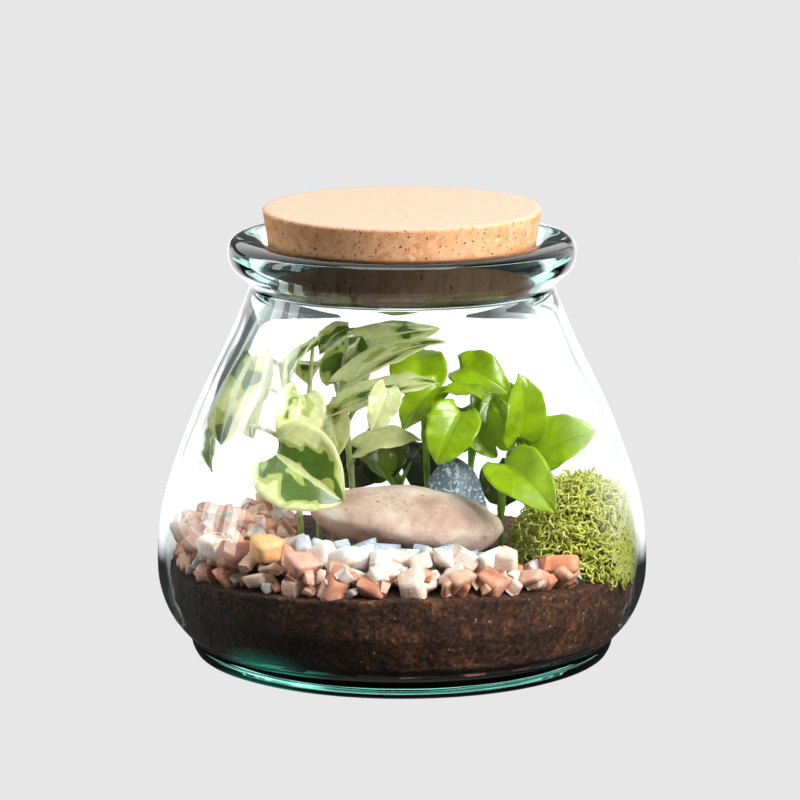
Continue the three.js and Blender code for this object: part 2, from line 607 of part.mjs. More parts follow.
const MATERIALS = {
  glass: { color: 0xcfe3da, roughness: 0.05, metalness: 0, transparent: true, opacity: 0.35 },
  cork: { color: 0xd9a877, roughness: 0.9, metalness: 0 },
  soil: { color: 0x3a2419, roughness: 1, metalness: 0 },
  pinkGravel: { color: 0xd9a890, roughness: 0.8, metalness: 0 },
  greyGravel: { color: 0xb4bcc2, roughness: 0.75, metalness: 0 },
  amberGravel: { color: 0xb87a45, roughness: 0.8, metalness: 0 },
  terracottaGravel: { color: 0xc07a58, roughness: 0.8, metalness: 0 },
  whiteGravel: { color: 0xe6e4e0, roughness: 0.7, metalness: 0 },
  sandstone: { color: 0xb98d78, roughness: 0.85, metalness: 0 },
  slate: { color: 0x5d6a75, roughness: 0.7, metalness: 0 },
  moss: { color: 0xa9b93f, roughness: 0.9, metalness: 0 },
  variegatedLeaf: { color: 0xbfcf8c, roughness: 0.4, metalness: 0 },
  greenLeaf: { color: 0x7fae12, roughness: 0.35, metalness: 0 },
};
const materials = Object.fromEntries(
  Object.entries(MATERIALS).map(([name, look]) => [name, new THREE.MeshStandardMaterial({ name, ...look })]));

const terrarium = new THREE.Group();

function addPiece(name, geometry, material) {
  geometry.computeVertexNormals();
  const piece = new THREE.Mesh(geometry, material);
  piece.name = name;
  terrarium.add(piece);
}

addPiece("jar", jarGeometry(), materials.glass);
addPiece("cork_stopper", corkGeometry(), materials.cork);
addPiece("drainage_pebbles", geometryOf(drainageSolid(cavity)), materials.pinkGravel);
addPiece("potting_soil", geometryOf(soilSolid()), materials.soil);
addPiece("gravel_bed", geometryOf(laid.gravel_bed), materials.pinkGravel);
addPiece("white_pebbles", geometryOf(laid.white_pebbles), materials.whiteGravel);
addPiece("blue_grey_pebbles", geometryOf(laid.blue_grey_pebbles), materials.greyGravel);
addPiece("amber_pebble", geometryOf(laid.amber_pebble), materials.amberGravel);
addPiece("rose_pebble", geometryOf(laid.rose_pebble), materials.pinkGravel);
addPiece("terracotta_pebble", geometryOf(laid.terracotta_pebble), materials.terracottaGravel);
addPiece("flat_stone", stoneGeometry(FLAT_STONE), materials.sandstone);
addPiece("slate_stone", stoneGeometry(SLATE_STONE), materials.slate);
addPiece("moss_cushion", geometryOf(mossSolid()), materials.moss);
VARIEGATED_VINES.forEach((vine, i) =>
  addPiece(`variegated_vine_${i + 1}`, geometryOf(vineSolid(vine)), materials.variegatedLeaf));
GREEN_VINES.forEach((vine, i) =>
  addPiece(`green_vine_${i + 1}`, geometryOf(vineSolid(vine)), materials.greenLeaf));

export default terrarium;
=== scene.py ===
"""A corked glass jar planted with vines, moss, gravel and stones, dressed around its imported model."""

import math

import bpy
from bpy.props import FloatProperty, FloatVectorProperty, IntProperty, PointerProperty
from mathutils import Euler, Matrix, Vector, noise


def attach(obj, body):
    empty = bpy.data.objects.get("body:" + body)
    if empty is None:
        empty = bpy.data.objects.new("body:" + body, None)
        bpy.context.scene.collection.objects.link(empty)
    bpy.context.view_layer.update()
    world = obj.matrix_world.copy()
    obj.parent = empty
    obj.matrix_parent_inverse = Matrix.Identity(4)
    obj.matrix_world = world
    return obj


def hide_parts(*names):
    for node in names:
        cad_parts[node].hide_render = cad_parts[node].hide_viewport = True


bl_info = {
    "name": "Glass plant terrarium",
    "version": (1, 0, 0),
    "blender": (4, 5, 0),
    "location": "3D View > Sidebar > Terrarium",
    "description": "Dresses the jar, its cork and its planting around the packed model",
    "category": "Add Mesh",
}

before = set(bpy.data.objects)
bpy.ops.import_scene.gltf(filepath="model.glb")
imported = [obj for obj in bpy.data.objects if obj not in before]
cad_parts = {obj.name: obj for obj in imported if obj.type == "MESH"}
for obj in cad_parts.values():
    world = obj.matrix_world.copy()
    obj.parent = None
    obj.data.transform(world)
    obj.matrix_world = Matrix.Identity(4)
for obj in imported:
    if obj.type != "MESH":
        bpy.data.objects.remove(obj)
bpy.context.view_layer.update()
BODY = "root"
MM = 0.001

# ------------------------------------------------------------------ the CAD's values, in millimetres

FOOT_INSIDE = 77  # inner radius of the flat ring that it stands on
PUNT_HEIGHT = 4.5  # how far the underside is pushed up in the middle
# The outside and the inside of the jar, as (radius, height).
HEEL = [(91.5, 0), (96.4, 2.2), (98.8, 6.4), (99.4, 10)]
WALL = [(99.4, 10), (108.6, 21), (113.8, 34), (115, 47), (113.9, 64), (110, 82),
        (103.2, 102), (94.2, 124), (83.4, 146), (75.6, 164), (70.6, 177)]
RIM = [(70.6, 177), (74.4, 180.6), (79.6, 185.6), (81.4, 191.8), (79.6, 197.2),
       (73.6, 199.2), (66.4, 198.2), (62.9, 195)]
INSIDE = [(60.2, 179.5), (61.6, 173.5), (66.4, 165), (75.4, 146), (87, 124), (96.9, 102),
          (104.6, 82), (109.2, 64), (110.8, 47), (109.4, 33), (103.8, 19.4), (96, 10.6), (86, 6.8)]
FLOOR = [(60, 6.1), (30, 6.9), (0, 7.9)]

CORK_TOP = 212.8
CORK_BOTTOM = 183
CORK_RADIUS = 65.3  # at the top
CORK_TAPER = 0.165  # radius lost for each millimetre down
CORK_EDGE = 0.8  # broken edge at the top and bottom

DRAINAGE_TOP = 12.4
DRAINAGE_BED = 80  # radius of the drainage layer without its outer stones
DRAINAGE_REACH = 85  # radius at which those lie
DRAINAGE_STONES = 20
SOIL_LEVEL = 51  # at the middle
SOIL_FALL = 5.5  # how much lower it is at the sides
GRAVEL_DEPTH = 8  # over the soil at the front
GRAVEL_BANK = 14  # more than that, on the left
GRAVEL_LEAST = 0.3  # share of its depth below which no pebble lies
PEBBLE_SIZE = 7.2  # mean half length
BED_RADIUS = 93  # of the gravel without the pebbles against the glass
SURFACE_REACH = 90  # radius out to which pebbles are spread over it
SURFACE_PLACES = 88
WALL_REACH = 99.5  # radius at which the pebbles against the glass lie
WALL_PLACES = 33  # for them in a row all round
WALL_ROWS = 4
ROW_HEIGHT = 10.5

# Pebbles of one colour, each at an (x, y) on the gravel.
WHITE_PEBBLES = {"seed": 5, "size": 8, "places": [
    (-37, -72), (-27.5, -75), (-18, -72.5), (-9, -76), (0, -73), (9, -76.5), (18.5, -74), (28, -77),
    (37.5, -74), (47, -76)]}
BLUE_GREY_PEBBLES = {"seed": 9, "size": 6.8, "places": [
    (-45, -58), (-36, -61), (-27, -58), (-18, -61), (-9, -59), (0, -62), (9, -59), (18, -61), (27, -58),
    (36, -60)]}
AMBER_PEBBLE = {"seed": 21, "size": 9, "places": [(-61, -76)]}
ROSE_PEBBLE = {"seed": 24, "size": 8.5, "places": [(-45, -87)]}
TERRACOTTA_PEBBLE = {"seed": 23, "size": 8.5, "places": [(70, -69)]}

MOSS_CENTRE = Vector((82, -22, 50))
MOSS_HALF = Vector((32, 38, 41))

STEM_RADIUS = 1.5
PETIOLE_RADIUS = 0.95
LEAF_FOLD = math.radians(14)  # how far each half of a blade rises from the midrib
LEAF_WAVE = 0.9  # height of the waves along its margin
WALL_CLEARANCE = 1.6  # from a leaf to the glass

# Each vine is its stem, as points from its foot in the soil, and its leaves. A leaf is the share of the
# stem's length at which it leaves it, its base, its tip, the way it faces, its width, its bow and its tone:
# how much of a variegated leaf is green, or how dark a leaf of the green vine is from the others' shade.
LEAF_VALUES = ("from", "base", "tip", "face", "width", "bow", "tone")
VARIEGATED_VINES = [
    ([(-38, -8, 40), (-39, -10, 75), (-41, -14, 105), (-43, -18, 124)], [
        (0.72, (-57, -47, 105), (-27, -55, 85), (-0.1, -1, 0.35), 42, 4, 0.7),
        (0.96, (-46, -33, 130), (-53, -41, 103), (0.3, -1, 0.1), 24, 4, 0.4),
        (0.99, (-39, -17, 151), (-50, -26, 124), (-0.85, -0.25, 0.4), 20, 6, 0.6)]),
    ([(-46, 6, 40), (-49, 5, 75), (-53, 2, 110), (-56, -2, 140)], [
        (0.99, (-69, -7, 144), (-84, -13, 103), (-0.3, -1, 0.1), 30, 4, 0.5),
        (0.6, (-86, 0, 112), (-88, -16, 91), (-0.8, -0.6, 0.2), 11, 2, 0.8),
        (0.8, (-66, 18, 126), (-72, 34, 98), (-0.7, 0.7, 0.2), 27, 4, 0.5)]),
    ([(-31, 2, 40), (-32, 2, 80), (-30, 2, 115), (-26, 4, 142)], [
        (0.86, (-29, 8, 129), (-19, 10, 152), (0, -1, 0.3), 25, 3, 0.75),
        (0.97, (-24, -9, 160), (-38, -14, 146), (-0.3, -0.8, 0.6), 15, 3, 0.65),
        (0.99, (-18, 14, 148), (18, 22, 156), (0, -0.9, 0.5), 24, 3, 0.4),
        (0.8, (-35, 22, 134), (-46, 50, 122), (-0.3, 0.3, 0.9), 26, 6, 0.5)]),
    ([(-22, 10, 40), (-23, 6, 75), (-26, -4, 108), (-28, -10, 122)], [
        (0.98, (-26, -8, 131), (20, 0, 150), (-0.3, -0.5, 0.9), 20, 5, 0.5),
        (0.9, (-28, -23, 121), (17, -28, 135), (0, -0.45, 0.9), 20, 4, 0.45),
        (0.85, (-7, -41, 135), (-14, -45, 115), (0.3, -1, 0), 16, 2, 0.05),
        (0.6, (-20, -16, 101), (9, -22, 107), (0, -0.6, 0.8), 15, 4, 0.05),
        (0.75, (-35, -15, 122), (-29, -16, 99), (0.2, -1, 0.2), 17, 2, 0.45)]),
]
GREEN_VINES = [
    ([(12, 24, 40), (12, 22, 75), (11, 14, 100), (10, 5, 117)], [
        (0.97, (8, 4, 126), (7, 27, 142), (0, -0.6, 0.8), 28, 4, 0),
        (0.95, (17, -4, 129), (0, -9, 109), (-0.2, -0.8, 0.6), 18, 4, 0),
        (0.8, (27, -26, 121), (16, -34, 98), (0, -0.9, 0.5), 25, 4, 0)]),
    ([(32, 27, 40), (32, 25, 75), (34, 16, 105), (36, 6, 123)], [
        (0.99, (27, 11, 135), (50, 5, 124), (0.1, -0.8, 0.6), 23, 4, 0),
        (0.93, (37, -9, 124), (17, -13, 127), (0, -0.3, 0.95), 14, 3, 0),
        (0.8, (52, 10, 101), (43, 8, 123), (-0.3, -0.9, 0.3), 17, 3, 0),
        (0.7, (31, 0, 108), (44, -2, 95), (0.1, -0.9, 0.4), 13, 2, 0),
        (0.82, (41, 30, 122), (51, 31, 97), (0.2, -1, 0.2), 26, 4, 0.5),
        (0.62, (28, 33, 112), (25, 34, 89), (-0.2, -1, 0.2), 23, 4, 0.7)]),
    ([(47, 16, 40), (47, 14, 70), (51, 5, 96)], [
        (0.98, (54, -3, 104), (54, -8, 136), (0.5, -0.8, 0), 25, 4, 0),
        (0.85, (60, 11, 93), (92, 8, 107), (0.1, -0.8, 0.6), 27, 4, 0),
        (0.8, (47, -31, 98), (69, -59, 80), (0, -0.9, 0.5), 27, 4, 0),
        (0.5, (44, 26, 86), (50, 31, 66), (0.1, -1, 0.3), 21, 3, 0.9)]),
    ([(0, 36, 40), (0, 34, 62), (-2, 30, 80)], [
        (0.9, (-5, 14, 84), (-21, 6, 94), (0.2, -0.7, 0.7), 19, 3, 0.8),
        (0.98, (-6, 23, 102), (-13, 25, 78), (0, -1, 0.2), 24, 4, 0.9),
        (0.7, (-10, 44, 88), (-35, 41, 76), (0, -1, 0.3), 24, 4, 1),
        (0.85, (9, 41, 94), (12, 42, 69), (0.1, -1, 0.2), 23, 4, 1)]),
]
GOLDEN_ANGLE = math.pi * (3 - math.sqrt(5))


# ------------------------------------------------------------------ helpers

def linear(code):
    """An sRGB hex colour as linear red, green and blue."""
    shares = [int(code[i:i + 2], 16) / 255 for i in (0, 2, 4)]
    return tuple(c / 12.92 if c <= 0.04045 else ((c + 0.055) / 1.055) ** 2.4 for c in shares)


def scale_of(size):
    """The scale of a pattern whose features are so many millimetres wide."""
    return 1 / (size * MM)


def add_node(tree, kind, inputs=(), stops=(), **settings):
    """A shader node with its settings, and with its inputs by name or place, or as a list in their order.

    An input is a value, a socket, or a node, which gives its first output. The list of a MapRange is its
    value, the two ends of the range that the value lies in and the two ends of the range that it becomes.
    """
    node = tree.nodes.new("ShaderNode" + kind)
    for name, value in settings.items():
        setattr(node, name, value)
    for name, value in inputs.items() if isinstance(inputs, dict) else enumerate(inputs):
        if isinstance(value, bpy.types.Node):
            value = value.outputs[0]
        if isinstance(value, bpy.types.NodeSocket):
            tree.links.new(value, node.inputs[name])
        else:
            node.inputs[name].default_value = value
    for place, (position, colour) in enumerate(stops):
        ramp = node.color_ramp.elements
        stop = ramp[place] if place < 2 else ramp.new(position)
        stop.position = position
        stop.color = (*colour, 1)
    return node


def distance_from(tree, value, middle):
    """How far a value lies from a middle."""
    off = add_node(tree, "Math", [value, middle], operation="SUBTRACT")
    return add_node(tree, "Math", [off], operation="ABSOLUTE")


def new_material(name):
    """An empty material, its node tree and its output node."""
    material = bpy.data.materials.new(name)
    material.use_nodes = True
    tree = material.node_tree
    tree.nodes.clear()
    return material, tree, add_node(tree, "OutputMaterial")


def matt_surface(tree, output, colour, relief, strength, depth, roughness, ior):
    """A rough opaque skin with a relief, whose depth is in millimetres."""
    bump = add_node(tree, "Bump", {"Height": relief, "Strength": strength, "Distance": depth * MM})
    skin = add_node(tree, "BsdfPrincipled", {
        "Base Color": colour, "Roughness": roughness, "IOR": ior, "Normal": bump})
    tree.links.new(skin.outputs["BSDF"], output.inputs["Surface"])


def colour_property(name, description, colour):
    """A colour that a user would change."""
    return FloatVectorProperty(
        name=name, description=description, subtype="COLOR", size=3, min=0, max=1, default=colour)


def deselect():
    bpy.ops.object.select_all(action="DESELECT")


def activate(piece):
    deselect()
    piece.select_set(True)
    bpy.context.view_layer.objects.active = piece


def smooth_through(points, steps):
    """Points of a smooth curve through the given ones, with so many steps between each two."""
    points = [Vector(p) for p in points]
    last = len(points) - 1
    curve = []
    for i in range(last):
        a, b, c, d = points[max(i - 1, 0)], points[i], points[i + 1], points[min(i + 2, last)]
        for k in range(steps):
            t = k / steps
            start, end = (c - a) / 2, (d - b) / 2
            curve.append((2 * (b - c) + start + end) * t ** 3
                         + (3 * (c - b) - 2 * start - end) * t ** 2 + start * t + b)
    return curve + [points[last]]


def smoothstep(x, low, high):
    share = min(1, max(0, (x - low) / (high - low)))
    return share * share * (3 - 2 * share)


def seeded(seed):
    """Numbers from 0 to 1, the same on each run for the same seed."""
    state = seed
    whole = 0xFFFFFFFF

    def draw():
        nonlocal state
        state = (state + 0x6D2B79F5) & whole
        t = ((state ^ state >> 15) * (1 | state)) & whole
        t = ((t + (t ^ t >> 7) * (61 | t)) & whole) ^ t
        return (t ^ t >> 14) / 4294967296

    return draw


def between(random, low, high):
    return low + (high - low) * random()


def soil_top(x, y):
    """Height of the soil's surface."""
    return SOIL_LEVEL + 1.2 * math.sin(x / 21 + 1) * math.cos(y / 17) - SOIL_FALL * (x / 110) ** 2


def gravel_share(x, y):
    """How much of the gravel's depth lies at a place, from 0 to 1."""
    front = 1 - smoothstep(y, -62 - 0.2 * x, -40 - 0.2 * x)
    left = 1 - smoothstep(x, -66, -46)
    return max(front, left) * (1 - smoothstep(x, 74, 84))


def gravel_top(x, y):
    """Height of the gravel's surface, which is banked up against the left side."""
    from_left = 1 - smoothstep(x, -80, -30)
    along_side = smoothstep(y, -108, -50) * (1 - 0.75 * smoothstep(y, -15, 55))
    return soil_top(x, y) + gravel_share(x, y) * (GRAVEL_DEPTH + GRAVEL_BANK * from_left * along_side)


INSIDE_CURVE = smooth_through(INSIDE, 8) + [Vector(p) for p in FLOOR]


def inside_radius(z):
    """Radius of the jar's inside at a height."""
    for upper, lower in zip(INSIDE_CURVE, INSIDE_CURVE[1:]):
        if lower.y < z <= upper.y:
            return lower.x + (upper.x - lower.x) * (z - lower.y) / (upper.y - lower.y)
    return INSIDE_CURVE[0].x


def inside_glass(p, clearance):
    """A point moved in from the glass where it would come too near to it."""
    limit = inside_radius(p.z) - clearance
    reach = math.hypot(p.x, p.y)
    return Vector((p.x * limit / reach, p.y * limit / reach, p.z)) if reach > limit else p


def keep_inside(piece, clearance):
    """Presses what would reach into the glass flat against it."""
    for vertex in piece.data.vertices:
        vertex.co = inside_glass(vertex.co / MM, clearance) * MM


def marked(piece, **marks):
    """A piece with an attribute for each mark, the same all over it."""
    for name, value in marks.items():
        mark = piece.data.attributes.new(name, "FLOAT", "POINT")
        mark.data.foreach_set("value", [value] * len(piece.data.vertices))
    return piece


def copied(shape, matrix, **marks):
    """A copy of a shape with a mesh of its own, placed and marked."""
    copy = shape.copy()
    copy.data = shape.data.copy()
    copy.data.transform(matrix)
    bpy.context.collection.objects.link(copy)
    return marked(copy, **marks)


def joined(name, pieces):
    """Several objects as one piece."""
    deselect()
    for piece in pieces:
        piece.select_set(True)
    bpy.context.view_layer.objects.active = pieces[0]
    if len(pieces) > 1:
        bpy.ops.object.join()
    whole = bpy.context.object
    whole.name = whole.data.name = name
    return whole


def remove(pieces):
    for piece in pieces:
        bpy.data.objects.remove(piece)


def copy_of_node(name, node):
    """A welded copy of a node's mesh."""
    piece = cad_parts[node].copy()
    piece.data = piece.data.copy()
    piece.data.materials.clear()
    piece.parent = None
    for key in list(piece.keys()):
        del piece[key]
    bpy.context.collection.objects.link(piece)
    piece.name = piece.data.name = name
    activate(piece)
    bpy.ops.object.mode_set(mode="EDIT")
    bpy.ops.mesh.select_all(action="SELECT")
    bpy.ops.mesh.remove_doubles(threshold=0.01 * MM)
    bpy.ops.object.mode_set(mode="OBJECT")
    return piece


def apply_modifier(piece, kind, **settings):
    """Adds a modifier with its settings and applies it."""
    activate(piece)
    modifier = piece.modifiers.new(kind.title(), kind)
    for name, value in settings.items():
        setattr(modifier, name, value)
    bpy.ops.object.modifier_apply(modifier=modifier.name)


def push(piece, rule):
    """Moves each vertex along its normal by what the rule gives for it, in millimetres."""
    normals = [vertex.normal.copy() for vertex in piece.data.vertices]
    for vertex, normal in zip(piece.data.vertices, normals):
        vertex.co += normal * rule(vertex.co / MM, normal) * MM


def turned(name, outline, sides):
    """A closed shape turned about Z from an outline of (radius, height) points, in millimetres."""
    deselect()
    bpy.ops.mesh.primitive_plane_add(size=MM)
    piece = bpy.context.object
    piece.name = piece.data.name = name
    bpy.ops.object.mode_set(mode="EDIT")
    bpy.ops.mesh.merge(type="CENTER")
    radius, height = outline[0]
    bpy.ops.transform.translate(value=(radius * MM, 0, height * MM))
    for (r0, z0), (r1, z1) in zip(outline, outline[1:]):
        bpy.ops.mesh.extrude_region_move(
            TRANSFORM_OT_translate={"value": ((r1 - r0) * MM, 0, (z1 - z0) * MM)})
    bpy.ops.mesh.select_all(action="SELECT")
    bpy.ops.mesh.spin(steps=sides, angle=math.tau, center=(0, 0, 0), axis=(0, 0, 1))
    bpy.ops.mesh.select_all(action="SELECT")
    bpy.ops.mesh.remove_doubles(threshold=0.01 * MM)
    bpy.ops.mesh.normals_make_consistent(inside=False)
    bpy.ops.object.mode_set(mode="OBJECT")
    bpy.ops.object.shade_smooth()
    return piece


def finish_piece(piece, material, slot, *nodes):
    """Gives a piece its material and its body, and lets it stand for its nodes. Its slot is not used."""
    if piece.data.materials:
        piece.data.materials[0] = material
    else:
        piece.data.materials.append(material)
    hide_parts(*nodes)
    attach(piece, BODY)


# ------------------------------------------------------------------ the jar

GLASS_SIDES = 160


class GlassSettings(bpy.types.PropertyGroup):
    """Recycled soda-lime glass."""
    tint: colour_property(
        "Tint", "Colour of light that has passed through much of the glass", (0.0, 0.78, 0.65))
    density: FloatProperty(
        name="Tint density", description="How fast the glass takes on its tint", min=0, default=8)


def glass_material(settings):
    """Recycled soda-lime glass, blown in a mould: clear where thin, sea green where thick."""
    material, tree, output = new_material("recycled_glass")
    ripple = add_node(tree, "TexNoise", {
        "Vector": add_node(tree, "TexCoord").outputs["Object"], "Scale": scale_of(26.3), "Detail": 1})
    bump = add_node(tree, "Bump", {"Height": ripple, "Strength": 0.12, "Distance": MM})
    shader = add_node(tree, "BsdfPrincipled", {
        "Base Color": (1, 1, 1, 1), "Roughness": 0, "IOR": 1.5, "Transmission Weight": 1, "Normal": bump})
    inside = add_node(tree, "VolumeAbsorption", {"Color": (*settings.tint, 1), "Density": settings.density})
    tree.links.new(shader.outputs["BSDF"], output.inputs["Surface"])
    tree.links.new(inside.outputs["Volume"], output.inputs["Volume"])
    return material


def unmirrored():
    """The collection that keeps the jar from mirroring the key light."""
    name = "not_mirrored_in"
    return bpy.data.collections.get(name) or bpy.data.collections.new(name)


class TERRARIUM_OT_jar(bpy.types.Operator):
    """Turn the glass jar"""
    bl_idname = "terrarium.jar"
    bl_label = "Jar"

    def execute(self, context):
        underside = [(FOOT_INSIDE * share, PUNT_HEIGHT * (1 - share ** 2))
                     for share in (0, 0.3, 0.55, 0.8, 1)]
        heel, wall, rim, inside = [smooth_through(points, 6) for points in (HEEL, WALL, RIM, INSIDE)]
        outline = underside + heel + wall[1:] + rim[1:] + inside + FLOOR
        piece = turned("glass_jar", outline, GLASS_SIDES)
        piece.visible_shadow = False
        unmirrored().objects.link(piece)
        unmirrored().collection_objects[0].light_linking.link_state = "EXCLUDE"
        finish_piece(piece, glass_material(context.scene.terrarium_glass), "glass", "jar")
        return {"FINISHED"}


# ------------------------------------------------------------------ the cork

CORK_SIDES = 360
CORK_STEP = 1.0  # between the rings of its side
PORE_SPACING = 3.2
CORK_RINGS = [1, 6, 12, 19, 26, 33, 40, 46, 51, 55.5, 59, 61.5]  # radii on its top


class CorkSettings(bpy.types.PropertyGroup):
    """Agglomerated cork."""
    granule: FloatProperty(
        name="Granule", description="Size of the pressed granules", unit="LENGTH", min=0.0005,
        default=3 * MM)
    pale: colour_property("Pale cork", "The palest granules", linear("EFB98D"))
    tan: colour_property("Tan cork", "The darker granules", linear("DD9B66"))
    sanded: colour_property("Sanded cork", "The sanded top", linear("BDA997"))
    bark: colour_property("Bark", "The specks of bark", linear("5A3720"))


def cork_radius(z):
    return CORK_RADIUS - CORK_TAPER * (CORK_TOP - z)


def cork_material(settings):
    """Agglomerated cork: pressed granules of several tans, with specks of bark and open pores."""
    material, tree, output = new_material("agglomerated_cork")
    place = add_node(tree, "TexCoord").outputs["Object"]
    wobble = add_node(tree, "TexNoise", {"Vector": place, "Scale": scale_of(3.33), "Detail": 2})
    moved = add_node(tree, "Mix", {0: 0.0035, 4: place, 5: wobble.outputs["Color"]}, data_type="VECTOR")
    scale = 1 / settings.granule
    granules = add_node(tree, "TexVoronoi", {"Vector": moved.outputs[1], "Scale": scale})
    tint = add_node(tree, "SeparateColor", [granules.outputs["Color"]])
    middle = tuple((a + b) / 2 for a, b in zip(settings.tan, settings.pale))
    colour = add_node(tree, "ValToRGB", [tint], [(0, settings.tan), (0.35, middle), (1, settings.pale)])
    specks = add_node(tree, "TexVoronoi", {"Vector": moved.outputs[1], "Scale": 2.1 * scale})
    near = add_node(tree, "MapRange", [specks, 0.22, 0.42, 1, 0])
    picked = add_node(tree, "SeparateColor", [specks.outputs["Color"]])
    few = add_node(tree, "Math", [picked.outputs["Green"], 0.8], operation="GREATER_THAN")
    bark = add_node(tree, "Math", [near, few], operation="MULTIPLY")
    specked = add_node(tree, "Mix", {0: bark, 6: colour, 7: (*settings.bark, 1)}, data_type="RGBA")
    # the sanded top is pale and even
    height = add_node(tree, "SeparateXYZ", [place]).outputs["Z"]
    sanded = add_node(tree, "MapRange", [height, 0.2118, 0.2124, 0, 0.82])
    even = add_node(tree, "Mix", {0: sanded, 6: specked.outputs[2], 7: (*settings.sanded, 1)},
                    data_type="RGBA")
    cells = add_node(tree, "TexNoise", {
        "Vector": place, "Scale": scale_of(0.909), "Detail": 3, "Roughness": 0.7})
    value = add_node(tree, "MapRange", [cells, 0.3, 0.7, 0.85, 1.1])
    # the part that sits in the neck is darkened: a painted shade, for the shadow of the thick rim
    neck_shade = add_node(tree, "MapRange", [height, 0.194, 0.2, 0.1, 1], interpolation_type="SMOOTHSTEP")
    value = add_node(tree, "Math", [value, neck_shade], operation="MULTIPLY")
    shade = add_node(tree, "HueSaturation", {"Color": even.outputs[2], "Value": value})
    matt_surface(tree, output, shade, cells, strength=0.4, depth=0.4, roughness=0.85, ior=1.3)
    return material


class TERRARIUM_OT_cork(bpy.types.Operator):
    """Turn the cork stopper"""
    bl_idname = "terrarium.cork"
    bl_label = "Cork"

    def execute(self, context):
        levels = [CORK_BOTTOM + CORK_EDGE + CORK_STEP * k
                  for k in range(int((CORK_TOP - CORK_BOTTOM - 2 * CORK_EDGE) / CORK_STEP))]
        levels.append(CORK_TOP - CORK_EDGE)
        outline = [(0, CORK_BOTTOM), (cork_radius(CORK_BOTTOM) - CORK_EDGE, CORK_BOTTOM)]
        outline += [(cork_radius(z), z) for z in levels]
        outline.append((CORK_RADIUS - CORK_EDGE - 0.2, CORK_TOP - 0.1))
        outline += [(r, CORK_TOP) for r in reversed(CORK_RINGS)] + [(0, CORK_TOP)]
        piece = turned("cork_stopper_turned", outline, CORK_SIDES)

        def pits(p, normal):
            """Open pores, in some places deep, in a skin that is never quite even."""
            distances = noise.voronoi(p / PORE_SPACING)[0]
            deep = noise.cell(p / 5.1) > 0.72
            pore = 0.5 * deep * smoothstep(-distances[0], -0.35, -0.12)
            return -0.12 - pore + 0.1 * noise.noise(p / 1.7)

        push(piece, pits)
        finish_piece(piece, cork_material(context.scene.terrarium_cork), "cork", "cork_stopper")
        return {"FINISHED"}


# ------------------------------------------------------------------ the gravel and the pebbles

class StoneSettings(bpy.types.PropertyGroup):
    """The broken stones of the gravel."""
    wear: IntProperty(
        name="Wear", description="How many times a stone's edges are rubbed down", min=0, default=3)
    filler: FloatProperty(
        name="Filler size", description="Half length of the small stones between the others",
        unit="LENGTH", min=0.001, default=4.9 * MM)
    spacing: FloatProperty(
        name="Filler spacing", description="Distance between the small stones", unit="LENGTH", min=0.002,
        default=8.5 * MM)


# The order in which the CAD draws a pebble's eight corners.
CORNERS = [(1, 1, 1), (1, 1, -1), (1, -1, 1), (1, -1, -1),
           (-1, 1, -1), (-1, 1, 1), (-1, -1, -1), (-1, -1, 1)]
CHIP_KINDS = 14
CHIP_CLEARANCE = 0.6  # from a stone to the glass
FILLER_LEAST = 0.2  # share of the gravel's depth below which no small stone lies
SHEET_DEPTH = 4.5  # of the sheet under the stones, below the gravel's surface
SLAB_DEPTH = 3.8  # of what the drainage stones lie in
SLAB_FALL = 0.3  # from their top to the slab's
# The colours of each rock, by tone.
PINK_FELDSPAR = {0: "9C5B3E", 0.14: "BE7E60", 0.34: "D29E83", 0.56: "DEB6A1", 0.76: "EAD3C3",
                 0.9: "CFC6BF", 1: "A9ADB0"}
RED_DRAINAGE = {0: "5A2E22", 0.5: "8A4B38", 0.85: "B0705A", 1: "C9A595"}
WHITE_QUARTZ = {0: "DDB9A0", 0.3: "E9D5C5", 0.55: "EDE7DF", 0.85: "F2EFEA", 1: "DCE0E2"}
GREY_MARBLE = {0: "7F8C99", 0.3: "A5B1BC", 0.55: "CDD3D7", 0.8: "98A2AC", 1: "E4E4E1"}
AMBER_CALCITE = {0: "B86F33", 0.5: "E0A266", 1: "F3CB97"}
ROSE_FELDSPAR = {0: "C98872", 0.5: "EBB9A4", 1: "F7DCCB"}
RED_FELDSPAR = {0: "A8502E", 0.5: "D6805A", 1: "EBA680"}


def chip(random, size, wear):
    """A broken stone about the origin, drawn as the CAD draws it, with its edges rubbed down."""
    corners = [Vector([c * between(random, 0.36, 1) for c in corner]) for corner in CORNERS]
    half = [size * between(random, *share) for share in ((1, 1.35), (0.8, 1), (0.6, 0.85))]
    tilts = [between(random, -0.6, 0.6) for _ in range(2)]
    turn = Euler((*tilts, between(random, 0, math.pi)), "ZYX").to_matrix()
    deselect()
    bpy.ops.mesh.primitive_cube_add(size=2)
    piece = bpy.context.object
    for vertex, corner in zip(piece.data.vertices, corners):
        vertex.co = turn @ Vector([c * h for c, h in zip(corner, half)]) * MM
    bpy.ops.object.mode_set(mode="EDIT")
    bpy.ops.mesh.select_all(action="SELECT")
    bpy.ops.mesh.convex_hull()
    bpy.ops.object.mode_set(mode="OBJECT")
    apply_modifier(piece, "SUBSURF", subdivision_type="SIMPLE", levels=2, render_levels=2)
    apply_modifier(piece, "SMOOTH", factor=0.5, iterations=wear)
    bpy.ops.object.shade_smooth()
    return piece


def placed(piece, x, y, z, **marks):
    """A stone modelled at the origin, moved to its place and marked."""
    piece.data.transform(Matrix.Translation(Vector((x, y, z)) * MM))
    return marked(piece, **marks)


